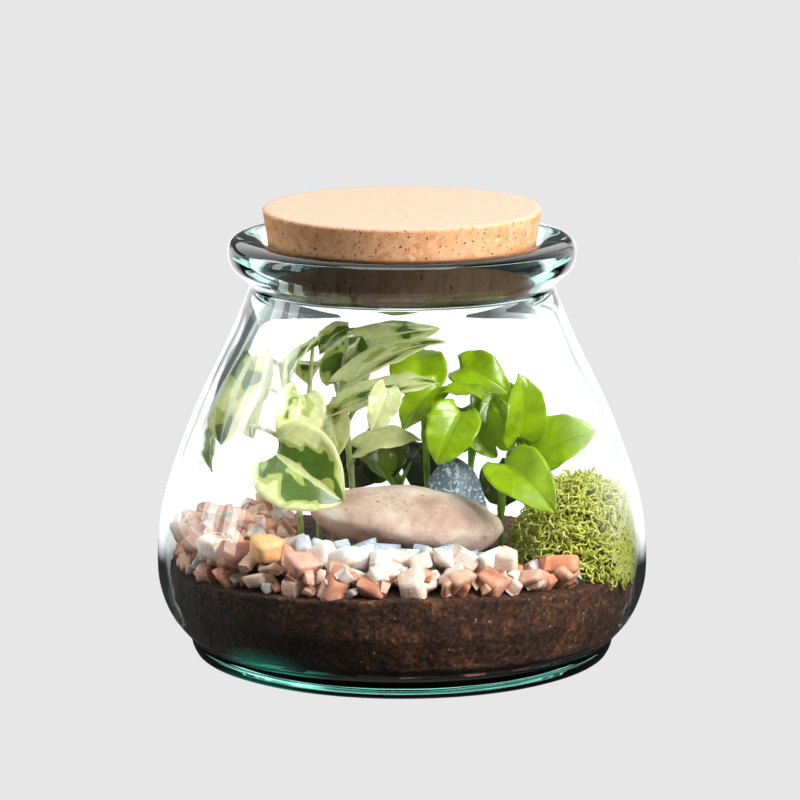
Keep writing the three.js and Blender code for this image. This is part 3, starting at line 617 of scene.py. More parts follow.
def stone_material(name, colours):
    """Crushed rock: a tone for each stone, clouded and veined, with a fine grain."""
    material, tree, output = new_material(name)
    place = add_node(tree, "TexCoord").outputs["Object"]
    tone = add_node(tree, "Attribute", attribute_name="tone").outputs["Fac"]
    clouds = add_node(tree, "TexNoise", {
        "Vector": place, "Scale": scale_of(5.26), "Detail": 4, "Roughness": 0.6, "Distortion": 0.6})
    grain = add_node(tree, "TexNoise", {
        "Vector": place, "Scale": scale_of(1.11), "Detail": 3, "Roughness": 0.7})
    shift = add_node(tree, "MapRange", [clouds, 0.25, 0.75, -0.175, 0.175])
    level = add_node(tree, "Math", [tone, shift], operation="ADD")
    colour = add_node(tree, "ValToRGB", [level], [(at, linear(code)) for at, code in colours.items()])
    value = add_node(tree, "MapRange", [grain, 0.3, 0.7, 0.82, 1.12])
    shade = add_node(tree, "HueSaturation", {"Color": colour, "Value": value})
    matt_surface(tree, output, shade, grain, strength=0.35, depth=0.4, roughness=0.55, ior=1.5)
    return material


def surface_stones(random, tones, wear):
    """The CAD's pebbles over the surface of the gravel, on a jittered spiral."""
    stones = []
    for i in range(SURFACE_PLACES):
        reach = SURFACE_REACH * math.sqrt((i + 0.5) / SURFACE_PLACES)
        x = reach * math.cos(i * GOLDEN_ANGLE) + between(random, -2, 2)
        y = reach * math.sin(i * GOLDEN_ANGLE) + between(random, -2, 2)
        size = PEBBLE_SIZE * between(random, 0.8, 1.3)
        stone = chip(random, size, wear)
        if gravel_share(x, y) < GRAVEL_LEAST:
            remove([stone])
        else:
            stones.append(placed(stone, x, y, gravel_top(x, y) - 0.35 * size, tone=tones()))
    return stones


def wall_stones(random, tones, wear):
    """The CAD's pebbles in rows against the glass, from the soil up to the gravel's surface."""
    stones = []
    for i in range(WALL_PLACES):
        for row in range(WALL_ROWS):
            turn = math.tau * (i + 0.5 * (row % 2) + between(random, -0.15, 0.15)) / WALL_PLACES
            x, y = WALL_REACH * math.cos(turn), WALL_REACH * math.sin(turn)
            z = soil_top(x, y) + 3.5 + row * ROW_HEIGHT
            stone = chip(random, PEBBLE_SIZE * between(random, 1.05, 1.35), wear)
            if gravel_share(x, y) < GRAVEL_LEAST or z > gravel_top(x, y) + 1:
                remove([stone])
            else:
                stones.append(placed(stone, x, y, z, tone=tones()))
    return stones


def filler_stones(random, tones, settings):
    """Small stones that close the gaps between the others, on the surface and against the glass."""
    size, spacing = settings.filler / MM, settings.spacing / MM
    kinds = [chip(random, size, settings.wear) for _ in range(CHIP_KINDS)]
    places = []
    rows = int(2 * WALL_REACH / spacing)
    for i in range(rows):
        for j in range(rows):
            x = (i + between(random, 0, 1)) * spacing - WALL_REACH
            y = (j + between(random, 0, 1)) * spacing - WALL_REACH
            if math.hypot(x, y) < WALL_REACH and gravel_share(x, y) > FILLER_LEAST:
                places.append((x, y, gravel_top(x, y) - between(random, 1.5, 5)))
    steps = int(math.tau * WALL_REACH / spacing)
    for i in range(steps):
        turn = math.tau * i / steps
        x, y = (WALL_REACH + 1) * math.cos(turn), (WALL_REACH + 1) * math.sin(turn)
        top = gravel_top(x, y)
        z = soil_top(x, y) + between(random, 1, 3)
        while z < top and gravel_share(x, y) > FILLER_LEAST:
            places.append((x + between(random, -2, 2), y + between(random, -2, 2), z))
            z += between(random, 0.75, 1) * spacing
    stones = []
    for place in places:
        turn = Euler([between(random, 0, math.tau) for _ in range(3)]).to_matrix().to_4x4()
        kind = kinds[int(between(random, 0, CHIP_KINDS))]
        scale = Matrix.Scale(between(random, 0.7, 1.25), 4)
        stones.append(copied(kind, Matrix.Translation(Vector(place) * MM) @ turn @ scale, tone=tones()))
    remove(kinds)
    return stones


def gravel_sheet():
    """What lies under the gravel's stones: a sheet that follows them."""
    deselect()
    bpy.ops.mesh.primitive_circle_add(vertices=72, radius=BED_RADIUS * MM, fill_type="TRIFAN")
    piece = bpy.context.object
    bpy.ops.object.mode_set(mode="EDIT")
    bpy.ops.mesh.select_all(action="SELECT")
    bpy.ops.mesh.subdivide(number_cuts=15)
    bpy.ops.object.mode_set(mode="OBJECT")
    for vertex in piece.data.vertices:
        x, y = vertex.co.x / MM, vertex.co.y / MM
        under = SHEET_DEPTH if gravel_share(x, y) >= GRAVEL_LEAST else 2 * SHEET_DEPTH
        vertex.co.z = (gravel_top(x, y) - under) * MM
    return marked(piece, tone=0.1)


class TERRARIUM_OT_gravel(bpy.types.Operator):
    """Lay the pink gravel"""
    bl_idname = "terrarium.gravel"
    bl_label = "Gravel"

    def execute(self, context):
        settings = context.scene.terrarium_stones
        random, other = seeded(11), seeded(12)
        stones = surface_stones(random, other, settings.wear) + wall_stones(random, other, settings.wear)
        stones += filler_stones(other, other, settings)
        piece = joined("pink_gravel", [gravel_sheet()] + stones)
        keep_inside(piece, CHIP_CLEARANCE)
        material = stone_material("pink_feldspar_gravel", PINK_FELDSPAR)
        finish_piece(piece, material, "pink_gravel", "gravel_bed")
        return {"FINISHED"}


class TERRARIUM_OT_pebbles(bpy.types.Operator):
    """Lay the pebbles of other colours on the gravel"""
    bl_idname = "terrarium.pebbles"
    bl_label = "Pebbles"

    def execute(self, context):
        wear = context.scene.terrarium_stones.wear
        for node, slot, group, rock, colours in (
                ("white_pebbles", "white_gravel", WHITE_PEBBLES, "white_quartz", WHITE_QUARTZ),
                ("blue_grey_pebbles", "grey_gravel", BLUE_GREY_PEBBLES, "blue_grey_marble", GREY_MARBLE),
                ("amber_pebble", "amber_gravel", AMBER_PEBBLE, "amber_calcite", AMBER_CALCITE),
                ("rose_pebble", "pink_gravel", ROSE_PEBBLE, "rose_feldspar", ROSE_FELDSPAR),
                ("terracotta_pebble", "terracotta_gravel", TERRACOTTA_PEBBLE, "red_feldspar", RED_FELDSPAR)):
            random, other = seeded(group["seed"]), seeded(group["seed"] + 50)
            stones = []
            for x, y in group["places"]:
                stone = chip(random, group["size"] * between(random, 1, 1.15), wear)
                stones.append(placed(stone, x, y, gravel_top(x, y) + 0.4 * group["size"],
                                     tone=between(other, 0.15, 0.85)))
            piece = joined(rock + "_chips", stones)
            finish_piece(piece, stone_material(rock, colours), slot, node)
        return {"FINISHED"}


class TERRARIUM_OT_drainage(bpy.types.Operator):
    """Lay the drainage layer under the soil"""
    bl_idname = "terrarium.drainage"
    bl_label = "Drainage"

    def execute(self, context):
        wear = context.scene.terrarium_stones.wear
        random, other = seeded(7), seeded(8)
        stones = []
        for i in range(DRAINAGE_STONES):
            turn = math.tau * (i + between(random, -0.15, 0.15)) / DRAINAGE_STONES
            stone = chip(random, PEBBLE_SIZE * between(random, 1.1, 1.35), wear)
            stone.data.transform(Matrix.Scale(0.25, 4, (0, 0, 1)))
            x, y = DRAINAGE_REACH * math.cos(turn), DRAINAGE_REACH * math.sin(turn)
            stones.append(placed(stone, x, y, DRAINAGE_TOP - 2.6, tone=other()))
        deselect()
        bpy.ops.mesh.primitive_cylinder_add(vertices=72, radius=DRAINAGE_BED * MM, depth=SLAB_DEPTH * MM)
        slab = placed(bpy.context.object, 0, 0, DRAINAGE_TOP - SLAB_FALL - SLAB_DEPTH / 2, tone=0.4)
        piece = joined("drainage_stones", [slab] + stones)
        keep_inside(piece, CHIP_CLEARANCE)
        material = stone_material("red_drainage_stone", RED_DRAINAGE)
        finish_piece(piece, material, "pink_gravel", "drainage_pebbles")
        return {"FINISHED"}


# ------------------------------------------------------------------ the soil

SOIL_MESH = 1.35  # width of a face
SOIL_CLEARANCE = 0.5  # from the soil to the glass


class SoilSettings(bpy.types.PropertyGroup):
    """Potting soil."""
    grain: FloatProperty(
        name="Grain", description="Size of the soil's crumbs", unit="LENGTH", min=0.0005,
        default=2.6 * MM)
    colour: colour_property("Colour", "Colour of the crumbs", linear("50301C"))


def soil_material(settings):
    """Peat: nearly black fines with brown crumbs and a few pale fibres."""
    material, tree, output = new_material("peat_potting_soil")
    place = add_node(tree, "TexCoord").outputs["Object"]
    fines = add_node(tree, "TexNoise", {
        "Vector": place, "Scale": scale_of(2.38), "Detail": 5, "Roughness": 0.7})
    patches = add_node(tree, "TexNoise", {"Vector": place, "Scale": scale_of(16.7), "Detail": 2})
    shift = add_node(tree, "MapRange", [patches, 0.3, 0.7, -0.08, 0.08])
    level = add_node(tree, "Math", [fines, shift], operation="ADD")
    colour = add_node(tree, "ValToRGB", [level], [
        (0.32, linear("0B0705")), (0.46, tuple(0.45 * c for c in settings.colour)),
        (0.58, settings.colour), (0.68, linear("7D4E30")), (0.78, linear("A87C52"))])
    fibres = add_node(tree, "TexVoronoi", {"Vector": place, "Scale": scale_of(3.03)})
    near = add_node(tree, "MapRange", [fibres, 0.1, 0.2, 1, 0])
    picked = add_node(tree, "SeparateColor", [fibres.outputs["Color"]])
    few = add_node(tree, "Math", [picked, 0.86], operation="GREATER_THAN")
    fleck = add_node(tree, "Math", [near, few], operation="MULTIPLY")
    flecked = add_node(tree, "Mix", {0: fleck, 6: colour, 7: (*linear("B48E68"), 1)}, data_type="RGBA")
    # darker down on the left: a painted shade, for the side away from the key light
    slant = add_node(tree, "VectorMath", [place, (1, 0, 1.1)], operation="DOT_PRODUCT").outputs["Value"]
    left_shade = add_node(tree, "MapRange", [slant, -0.025, 0.03, 0.3, 1.05], interpolation_type="SMOOTHSTEP")
    shade = add_node(tree, "HueSaturation", {"Color": flecked.outputs[2], "Value": left_shade})
    matt_surface(tree, output, shade, fines, strength=0.8, depth=0.8, roughness=0.85, ior=1.4)
    return material


class TERRARIUM_OT_soil(bpy.types.Operator):
    """Fill in the potting soil"""
    bl_idname = "terrarium.soil"
    bl_label = "Soil"

    def execute(self, context):
        settings = context.scene.terrarium_soil
        piece = copy_of_node("soil_mass", "potting_soil")
        apply_modifier(piece, "REMESH", mode="VOXEL", voxel_size=SOIL_MESH * MM)
        grain = settings.grain / MM

        def crumbs(p, normal):
            """Crumbs of soil, coarser on top, where nothing holds them."""
            fine = noise.noise(p / grain * 1.6)
            coarse = noise.noise(p / (4 * grain))
            crumb = min(1, noise.voronoi(p / grain)[0][0])
            on_top = (0.8 * coarse - 0.6) * (normal.z > 0.5)
            return -0.25 - 0.9 * crumb + 0.35 * fine + on_top

        push(piece, crumbs)
        keep_inside(piece, SOIL_CLEARANCE)
        bpy.ops.object.shade_smooth()
        finish_piece(piece, soil_material(settings), "soil", "potting_soil")
        return {"FINISHED"}


# ------------------------------------------------------------------ the two large stones

HOLLOW_WIDTH = 16  # of the hollows worn into them
# The colours of each large stone's clouds.
PINK_SANDSTONE = {0.3: "9B7666", 0.45: "BA9C8B", 0.58: "CDB8A8", 0.72: "DDD4C8"}
BLUE_SLATE = {0.3: "3C4754", 0.5: "5E6C7A", 0.68: "8695A3"}


def rock_material(name, colours, specks, speck_share, roughness):
    """A large weathered stone: soft clouds of colour under specks of another mineral."""
    material, tree, output = new_material(name)
    place = add_node(tree, "TexCoord").outputs["Object"]
    clouds = add_node(tree, "TexNoise", {
        "Vector": place, "Scale": scale_of(23.8), "Detail": 6, "Roughness": 0.62, "Distortion": 0.4})
    colour = add_node(tree, "ValToRGB", [clouds], [(at, linear(code)) for at, code in colours.items()])
    grains = add_node(tree, "TexNoise", {
        "Vector": place, "Scale": scale_of(1.92), "Detail": 3, "Roughness": 0.65})
    picked = add_node(tree, "MapRange", [grains, 1 - speck_share, 1.06 - speck_share])
    specked = add_node(tree, "Mix", {0: picked, 6: colour, 7: (*linear(specks), 1)}, data_type="RGBA")
    pits = add_node(tree, "TexNoise", {
        "Vector": place, "Scale": scale_of(4.76), "Detail": 4, "Roughness": 0.7})
    matt_surface(tree, output, specked.outputs[2], pits, strength=0.6, depth=0.9, roughness=roughness,
                 ior=1.5)
    return material


class TERRARIUM_OT_rocks(bpy.types.Operator):
    """Set the flat stone and the slate"""
    bl_idname = "terrarium.rocks"
    bl_label = "Large stones"

    def execute(self, context):
        sandstone = rock_material("pink_sandstone", PINK_SANDSTONE, specks="7E6252", speck_share=0.36,
                                  roughness=0.7)
        slate = rock_material("blue_slate", BLUE_SLATE, specks="B9C8D2", speck_share=0.46, roughness=0.5)
        for node, material, slot, depth in (("flat_stone", sandstone, "sandstone", 0.8),
                                            ("slate_stone", slate, "slate", 0.9)):
            piece = copy_of_node(node + "_rock", node)
            apply_modifier(piece, "SUBSURF", levels=3, render_levels=3)
            push(piece, lambda p, normal: depth * (noise.fractal(p / HOLLOW_WIDTH, 1, 2, 5) - 0.55))
            bpy.ops.object.shade_smooth()
            finish_piece(piece, material, slot, node)
        return {"FINISHED"}


# ------------------------------------------------------------------ the moss

STRAND_KINDS = 16
STRAND_RADIUS = 0.75  # at its foot
STRAND_STEPS = 6
MOSS_CORE = 0.84  # size of what the strands grow from, as a share of the cushion's
CORE_CLEARANCE = 4  # from that to the glass
MOSS_CLEARANCE = 0.8  # from a strand to the glass


class MossSettings(bpy.types.PropertyGroup):
    """The cushion of moss."""
    strands: IntProperty(
        name="Strands", description="Number of strands, with those left out because they start in the soil",
        min=1, default=4100)
    length: FloatProperty(
        name="Length", description="Length of a strand", unit="LENGTH", min=0.001, default=7.5 * MM)
    colour: colour_property("Colour", "Colour of the strands", linear("DCE05E"))


def moss_material(settings):
    """Living moss: thin leaves that glow yellow-green where light comes through them."""
    material, tree, output = new_material("cushion_moss")
    tone = add_node(tree, "Attribute", attribute_name="tone").outputs["Fac"]
    colour = add_node(tree, "ValToRGB", [tone], [
        (0, linear("4A5414")), (0.15, tuple(0.5 * c for c in settings.colour)),
        (0.35, tuple(0.8 * c for c in settings.colour)), (0.7, settings.colour), (1, linear("E4E79E"))])
    skin = add_node(tree, "BsdfPrincipled", {"Base Color": colour, "Roughness": 0.6})
    flesh = add_node(tree, "BsdfTranslucent", [colour])
    both = add_node(tree, "MixShader", [0.35, skin, flesh])
    tree.links.new(both.outputs["Shader"], output.inputs["Surface"])
    return material


def moss_strand(random, length):
    """One thin strand that curls as it grows from the origin along +Z."""
    curl = between(random, 1.4, 3.6) / length
    twist = between(random, -0.9, 0.9)
    p, points = Vector((0, 0, 0)), []
    for k in range(STRAND_STEPS + 1):
        points.append(p)
        bend = curl * length * k / STRAND_STEPS
        way = Vector((math.sin(bend) * math.cos(twist * k), math.sin(bend) * math.sin(twist * k),
                      math.cos(bend)))
        p = p + way * length / STRAND_STEPS
    return stalk(points, [STRAND_RADIUS * (1 - k / 10) for k in range(len(points))], roundness=0)


class TERRARIUM_OT_moss(bpy.types.Operator):
    """Grow the cushion of moss"""
    bl_idname = "terrarium.moss"
    bl_label = "Moss"

    def execute(self, context):
        settings = context.scene.terrarium_moss
        random = seeded(31)
        deselect()
        bpy.ops.mesh.primitive_ico_sphere_add(subdivisions=5, radius=MOSS_CORE)
        core = bpy.context.object
        for vertex in core.data.vertices:
            p = MOSS_CENTRE + vertex.co * MOSS_HALF
            p.z = max(p.z, soil_top(p.x, p.y) - 3)
            vertex.co = inside_glass(p, CORE_CLEARANCE) * MM
        bpy.ops.object.shade_smooth()
        # the core takes the darkest tone: dark lower stems, and painted shade deep under the strands
        marked(core, tone=0.06)
        kinds = [moss_strand(random, settings.length / MM * between(random, 0.75, 1.2))
                 for _ in range(STRAND_KINDS)]
        pieces = [core]
        for i in range(settings.strands):
            rise = 1 - 1.25 * (i + 0.5) / settings.strands
            across = math.sqrt(max(0, 1 - rise ** 2))
            angle = i * GOLDEN_ANGLE + between(random, -0.2, 0.2)
            way = Vector((across * math.cos(angle), across * math.sin(angle), rise))
            root = MOSS_CENTRE + Vector(
                [w * h * between(random, 0.8, 0.95) for w, h in zip(way, MOSS_HALF)])
            if root.z < soil_top(root.x, root.y) - 2:
                continue
            lean = Vector([between(random, -0.9, 0.9) for _ in range(3)])
            turn = Vector((0, 0, 1)).rotation_difference(way + lean).to_matrix().to_4x4()
            spin = Matrix.Rotation(between(random, 0, math.tau), 4, "Z")
            kind = kinds[i % STRAND_KINDS]
            pieces.append(copied(kind, Matrix.Translation(root * MM) @ turn @ spin,
                                 tone=between(random, 0.25, 1)))
        piece = joined("moss_strands", pieces)
        remove(kinds)
        keep_inside(piece, MOSS_CLEARANCE)
        finish_piece(piece, moss_material(settings), "moss", "moss_cushion")
        return {"FINISHED"}


# ------------------------------------------------------------------ the vines

class LeafSettings(bpy.types.PropertyGroup):
    """The vines' leaves and stems."""
    thickness: FloatProperty(
        name="Blade thickness", description="Thickness of a leaf", unit="LENGTH", min=0.0001,
        default=0.45 * MM)
    cream: colour_property("Cream", "The pale parts of a variegated leaf", linear("EBEEB6"))
    sage: colour_property("Sage", "The half green parts of a variegated leaf", linear("C6D272"))
    deep: colour_property("Deep green", "The green parts of a variegated leaf", linear("648426"))
    lime: colour_property("Lime", "The green vine's leaves", linear("B4D60C"))
    # painted shade: the dark green that the leaves lying under the others are darkened towards
    shade_green: colour_property("Old green", "The green vine's old, shaded leaves", linear("2E3F0A"))


LEAF_STEPS = 24  # along a midrib
LEAF_LANES = 16  # across a blade
VEINS = 6.5  # side veins on each half of a blade
VEIN_SLANT = 3.8  # how many of them a line straight across the blade crosses
PETIOLE_STEPS = 12
KNOT_REACH = 2.2  # how far along a stem it is swollen where a leaf leaves it


def blade_shape(u):
    """Half width of a heart-shaped blade of unit half width, from its base at 0 to its tip at 1."""
    return 2.096 * (1 - u) ** 0.8 * (u + 0.02) ** 0.4


def blade_point(leaf, u, v):
    """A point of a blade: u runs from its base to its tip, v from one margin (-1) to the other (1)."""
    base, tip = Vector(leaf["base"]), Vector(leaf["tip"])
    axis = tip - base
    length = axis.length
    along = axis.normalized()
    face = Vector(leaf["face"])
    up = (face - along * face.dot(along)).normalized()
    side = up.cross(along)
    run = (axis + up * 4 * leaf["bow"] * (1 - 2 * u)).normalized()
    normal = run.cross(side)
    across = abs(v)
    reach = max(0.12, blade_shape(u) * leaf["width"] / 2) * across
    # its waves and ripples at the margin, its side veins, its sunken midrib, and the lobes at its base
    wave = LEAF_WAVE * math.sin(12 * u + length + 2 * v) * across ** 1.5
    ripple = 0.3 * math.sin(31 * u + 5 * length) * across ** 3
    vein = 0.16 * math.cos(math.tau * (VEINS * u - VEIN_SLANT / 2 * across)) * min(1, 3 * across) * (1 - u)
    midrib = 0.35 * math.exp(-(reach / 0.9) ** 2)
    lobe = 0.12 * length * v ** 2 * (1 - u) ** 3
    place = (base + axis * u + up * 4 * leaf["bow"] * u * (1 - u)
             + side * math.copysign(math.cos(LEAF_FOLD) * reach, v)
             + normal * (math.sin(LEAF_FOLD) * reach + wave + ripple + vein - midrib)
             - along * lobe)
    return inside_glass(place, WALL_CLEARANCE)


def blade(leaf, thickness):
    """A leaf's blade: a grid laid along its formula and given its thickness."""
    deselect()
    bpy.ops.mesh.primitive_grid_add(x_subdivisions=LEAF_LANES, y_subdivisions=LEAF_STEPS, size=2)
    piece = bpy.context.object
    for vertex in piece.data.vertices:
        u, v = (vertex.co.y + 1) / 2, vertex.co.x
        vertex.co = blade_point(leaf, u, v) * MM
    piece.data.flip_normals()
    apply_modifier(piece, "SOLIDIFY", thickness=thickness, offset=0)
    bpy.ops.object.shade_smooth()
    return marked(piece, tone=leaf["tone"], pattern=leaf["pattern"])


def stalk(points, radii, roundness=2):
    """A round stalk through points, with a radius at each, in millimetres."""
    deselect()
    bpy.ops.curve.primitive_nurbs_path_add()
    piece = bpy.context.object
    curve = piece.data
    curve.splines.clear()
    spline = curve.splines.new("POLY")
    spline.points.add(len(points) - 1)
    for place, p, radius in zip(spline.points, points, radii):
        place.co = (*(p * MM), 1)
        place.radius = radius
    curve.dimensions = "3D"
    curve.bevel_depth = MM
    curve.bevel_resolution = roundness
    curve.use_fill_caps = True
    bpy.ops.object.convert(target="MESH")
    piece = bpy.context.object
    bpy.ops.object.shade_smooth()
    return piece


def on_curve(points, share):
    """The point at a share of a curve's length."""
    lengths = [(b - a).length for a, b in zip(points, points[1:])]
    left = share * sum(lengths)
    for a, b, length in zip(points, points[1:], lengths):
        if left <= length:
            return a.lerp(b, left / length)
        left -= length
    return points[-1]


def petiole_points(stem, leaf):
    """A petiole that leaves the stem, arches over and ends inside its blade, near the base."""
    start = on_curve(stem, leaf["from"])
    end = blade_point(leaf, 0.06, 0)
    middle = start.lerp(end, 0.5)
    middle.z += 0.22 * (end - start).length
    shares = [k / PETIOLE_STEPS for k in range(PETIOLE_STEPS + 1)]
    return [start.lerp(middle, t).lerp(middle.lerp(end, t), t) for t in shares]


def grow_vine(name, stem, leaves, thickness, leaf_material, stem_material):
    """One rooted cutting: its stem, its petioles and its blades, grown together."""
    stem = smooth_through(stem, 14)
    knots = [on_curve(stem, leaf["from"]) for leaf in leaves]
    swelling = [max(math.exp(-((p - knot).length / KNOT_REACH) ** 2) for knot in knots) for p in stem]
    blades = [blade(leaf, thickness) for leaf in leaves]
    stalks = [stalk(stem, [STEM_RADIUS * (1 + 0.35 * share) for share in swelling])]
    for leaf in leaves:
        points = petiole_points(stem, leaf)
        stalks.append(stalk(points, [PETIOLE_RADIUS * (1.25 - 0.5 * k / PETIOLE_STEPS)
                                     for k in range(len(points))]))
    for pieces, material in ((blades, leaf_material), (stalks, stem_material)):
        for piece in pieces:
            piece.data.materials.append(material)
    return joined(name, blades + stalks)


def leaf_surface(tree, output, colour, relief, roughness):
    """A waxy leaf: a glossy skin over flesh that lets light through."""
    bump = add_node(tree, "Bump", {"Height": relief, "Strength": 0.35, "Distance": 0.3 * MM})
    skin = add_node(tree, "BsdfPrincipled", {
        "Base Color": colour, "Roughness": roughness, "IOR": 1.6, "Specular IOR Level": 0.8,
        "Normal": bump})
    flesh = add_node(tree, "BsdfTranslucent", [colour, bump])
    both = add_node(tree, "MixShader", [0.42, skin, flesh])
    tree.links.new(both.outputs["Shader"], output.inputs["Surface"])


def variegated_material(settings):
    """A variegated vine's leaf: cream with sage clouds and sharp-edged green patches by the midrib."""
    material, tree, output = new_material("variegated_vine_leaf")
    # a place across and along the blade, and so far off for each leaf that no two are alike
    across, along, _ = add_node(tree, "SeparateXYZ", [add_node(tree, "UVMap")]).outputs
    pattern = add_node(tree, "Attribute", attribute_name="pattern").outputs["Fac"]
    shift = add_node(tree, "Math", [pattern, 3.7], operation="MULTIPLY")
    place = add_node(tree, "CombineXYZ", [across, along, shift])
    clouds = add_node(tree, "TexNoise", {
        "Vector": place, "Scale": 2.7, "Detail": 1.6, "Roughness": 0.45, "Distortion": 0.3})
    off = distance_from(tree, across, 0.5)
    # patches stay off the margin, and a pale line follows the midrib
    margin = add_node(tree, "MapRange", [off, 0.24, 0.5, 0, 0.3])
    midrib = add_node(tree, "MapRange", [off, 0.02, 0.05, 0.3, 0])
    less = add_node(tree, "Math", [margin, midrib], operation="ADD")
    tone = add_node(tree, "Attribute", attribute_name="tone").outputs["Fac"]
    more = add_node(tree, "Math", [tone, 0.5, -0.29], operation="MULTIPLY_ADD")
    level = add_node(tree, "Math", [clouds, more], operation="ADD")
    level = add_node(tree, "Math", [level, less], operation="SUBTRACT")
    colour = add_node(tree, "ValToRGB", [level], [
        (0.4, settings.cream), (0.43, settings.sage), (0.49, settings.sage), (0.51, settings.deep)])
    mottle = add_node(tree, "TexNoise", {"Vector": place, "Scale": 14, "Detail": 3})
    value = add_node(tree, "MapRange", [mottle, 0.3, 0.7, 0.88, 1.12])
    shade = add_node(tree, "HueSaturation", {"Color": colour, "Value": value})
    leaf_surface(tree, output, shade, mottle, roughness=0.32)
    return material


def green_material(settings):
    """A plain green vine's leaf: glossy lime with paler veins, and painted darker where it lies in the shade
    of the others.
    """
    material, tree, output = new_material("green_vine_leaf")
    across, along, _ = add_node(tree, "SeparateXYZ", [add_node(tree, "UVMap")]).outputs
    off = distance_from(tree, across, 0.5)
    # the side veins, which slant away from the midrib
    slant = add_node(tree, "Math", [off, -VEIN_SLANT * math.tau], operation="MULTIPLY")
    phase = add_node(tree, "Math", [along, VEINS * math.tau, slant], operation="MULTIPLY_ADD")
    wave = add_node(tree, "Math", [phase], operation="COSINE")
    vein = add_node(tree, "MapRange", [wave, 0.9, 1])
    midrib = add_node(tree, "MapRange", [off, 0.012, 0.03, 1, 0])
    lines = add_node(tree, "Math", [vein, midrib], operation="MAXIMUM")
    mottle = add_node(tree, "TexNoise", {
        "Vector": add_node(tree, "TexCoord").outputs["Object"], "Scale": scale_of(11.1), "Detail": 3})
    colour = add_node(tree, "ValToRGB", [mottle], [
        (0.3, tuple(0.66 * c for c in settings.lime)), (0.62, settings.lime)])
    faint = add_node(tree, "Math", [lines, 0.14], operation="MULTIPLY")
    veined = add_node(tree, "Mix", {0: faint, 6: colour, 7: (*linear("C4E05A"), 1)}, data_type="RGBA")
    # leaves under the others are darkened by their tone: a painted shade
    tone = add_node(tree, "Attribute", attribute_name="tone").outputs["Fac"]
    shaded_leaf = add_node(tree, "Mix", {0: tone, 6: veined.outputs[2], 7: (*settings.shade_green, 1)},
                    data_type="RGBA")
    leaf_surface(tree, output, shaded_leaf.outputs[2], lines, roughness=0.26)
    return material


def stalk_material(name, colour):
    """A vine's stem: green flesh under a satin skin."""
    material, tree, output = new_material(name)
    mottle = add_node(tree, "TexNoise", {
        "Vector": add_node(tree, "TexCoord").outputs["Object"], "Scale": scale_of(4.55), "Detail": 2})
    colour = add_node(tree, "ValToRGB", [mottle], [(0.35, tuple(0.7 * c for c in colour)), (0.65, colour)])
    leaf_surface(tree, output, colour, mottle, roughness=0.4)
    return material


def grow_vines(vines, name, slot, leaf_material, stem_material, thickness):
    """The cuttings of one vine. Each leaf has a pattern of its own, which is its number."""
    grown = 0
    for i, (stem, rows) in enumerate(vines, 1):
        leaves = [dict(zip(LEAF_VALUES, row), pattern=grown + k) for k, row in enumerate(rows, 1)]
        grown += len(leaves)
        piece = grow_vine(f"{name}_{i}_foliage", stem, leaves, thickness, leaf_material, stem_material)
        finish_piece(piece, leaf_material, slot, f"{name}_{i}")


class TERRARIUM_OT_variegated_vines(bpy.types.Operator):
    """Grow the cuttings of the variegated vine"""
    bl_idname = "terrarium.variegated_vines"
    bl_label = "Variegated vines"

    def execute(self, context):
        settings = context.scene.terrarium_leaves
        grow_vines(VARIEGATED_VINES, "variegated_vine", "variegated_leaf", variegated_material(settings),
                   stalk_material("variegated_vine_stem", linear("D3DFA0")), settings.thickness)
        return {"FINISHED"}


class TERRARIUM_OT_green_vines(bpy.types.Operator):
    """Grow the cuttings of the plain green vine"""
    bl_idname = "terrarium.green_vines"
    bl_label = "Green vines"

    def execute(self, context):
        settings = context.scene.terrarium_leaves
        grow_vines(GREEN_VINES, "green_vine", "green_leaf", green_material(settings),
                   stalk_material("green_vine_stem", linear("9DC23C")), settings.thickness)
        return {"FINISHED"}


# ------------------------------------------------------------------ the stage

class StageSettings(bpy.types.PropertyGroup):
    """The studio around the object."""
    backdrop: colour_property("Backdrop", "Colour of the seamless floor", linear("E7E7E7"))


# The camera that fits the ellipses of the rim and the foot, in metres, radians down and millimetres.
CAMERA_DISTANCE = 2.5
CAMERA_HEIGHT = 0.609288
CAMERA_SIDE = -0.00095
CAMERA_PITCH = 0.192826
CAMERA_LENS = 244.57
SENSOR_WIDTH = 36
PAPER_RADIUS = 9
PAPER_LEVEL = -0.0002  # just under the foot
BRIGHT = 1.6  # strength of the bright ground and wall behind the object
FOOT_GLOW = (-0.062, -0.062, 0)  # middle of the glow painted on the paper, for the light that the foot gathers
# Softboxes: each with the azimuth, distance and height at which it stands, in degrees and metres, its
# width and height, its power in watts, and whether it is mirrored in the glass.
LAMPS = {"window_near": (-88, 1.3, 0.6, (0.2, 0.95), 3, True),
         "window_far": (-104, 1.3, 0.6, (0.26, 0.95), 3.6, True),
         "key_right": (55, 1.6, 1.0, (0.9, 0.9), 62, False),
         "top": (0, 0.3, 1.6, (1.2, 0.9), 14, True)}


def straight_through(tree, path):
    """1 for light that has come through glass by refraction alone, with no reflection on the way, or 0."""
    turns = add_node(tree, "Math", [path.outputs["Diffuse Depth"], path.outputs["Glossy Depth"]],
                     operation="ADD")
    direct = add_node(tree, "Math", [turns, 0.5], operation="LESS_THAN")
    return add_node(tree, "Math", [path.outputs["Is Transmission Ray"], direct], operation="MULTIPLY")


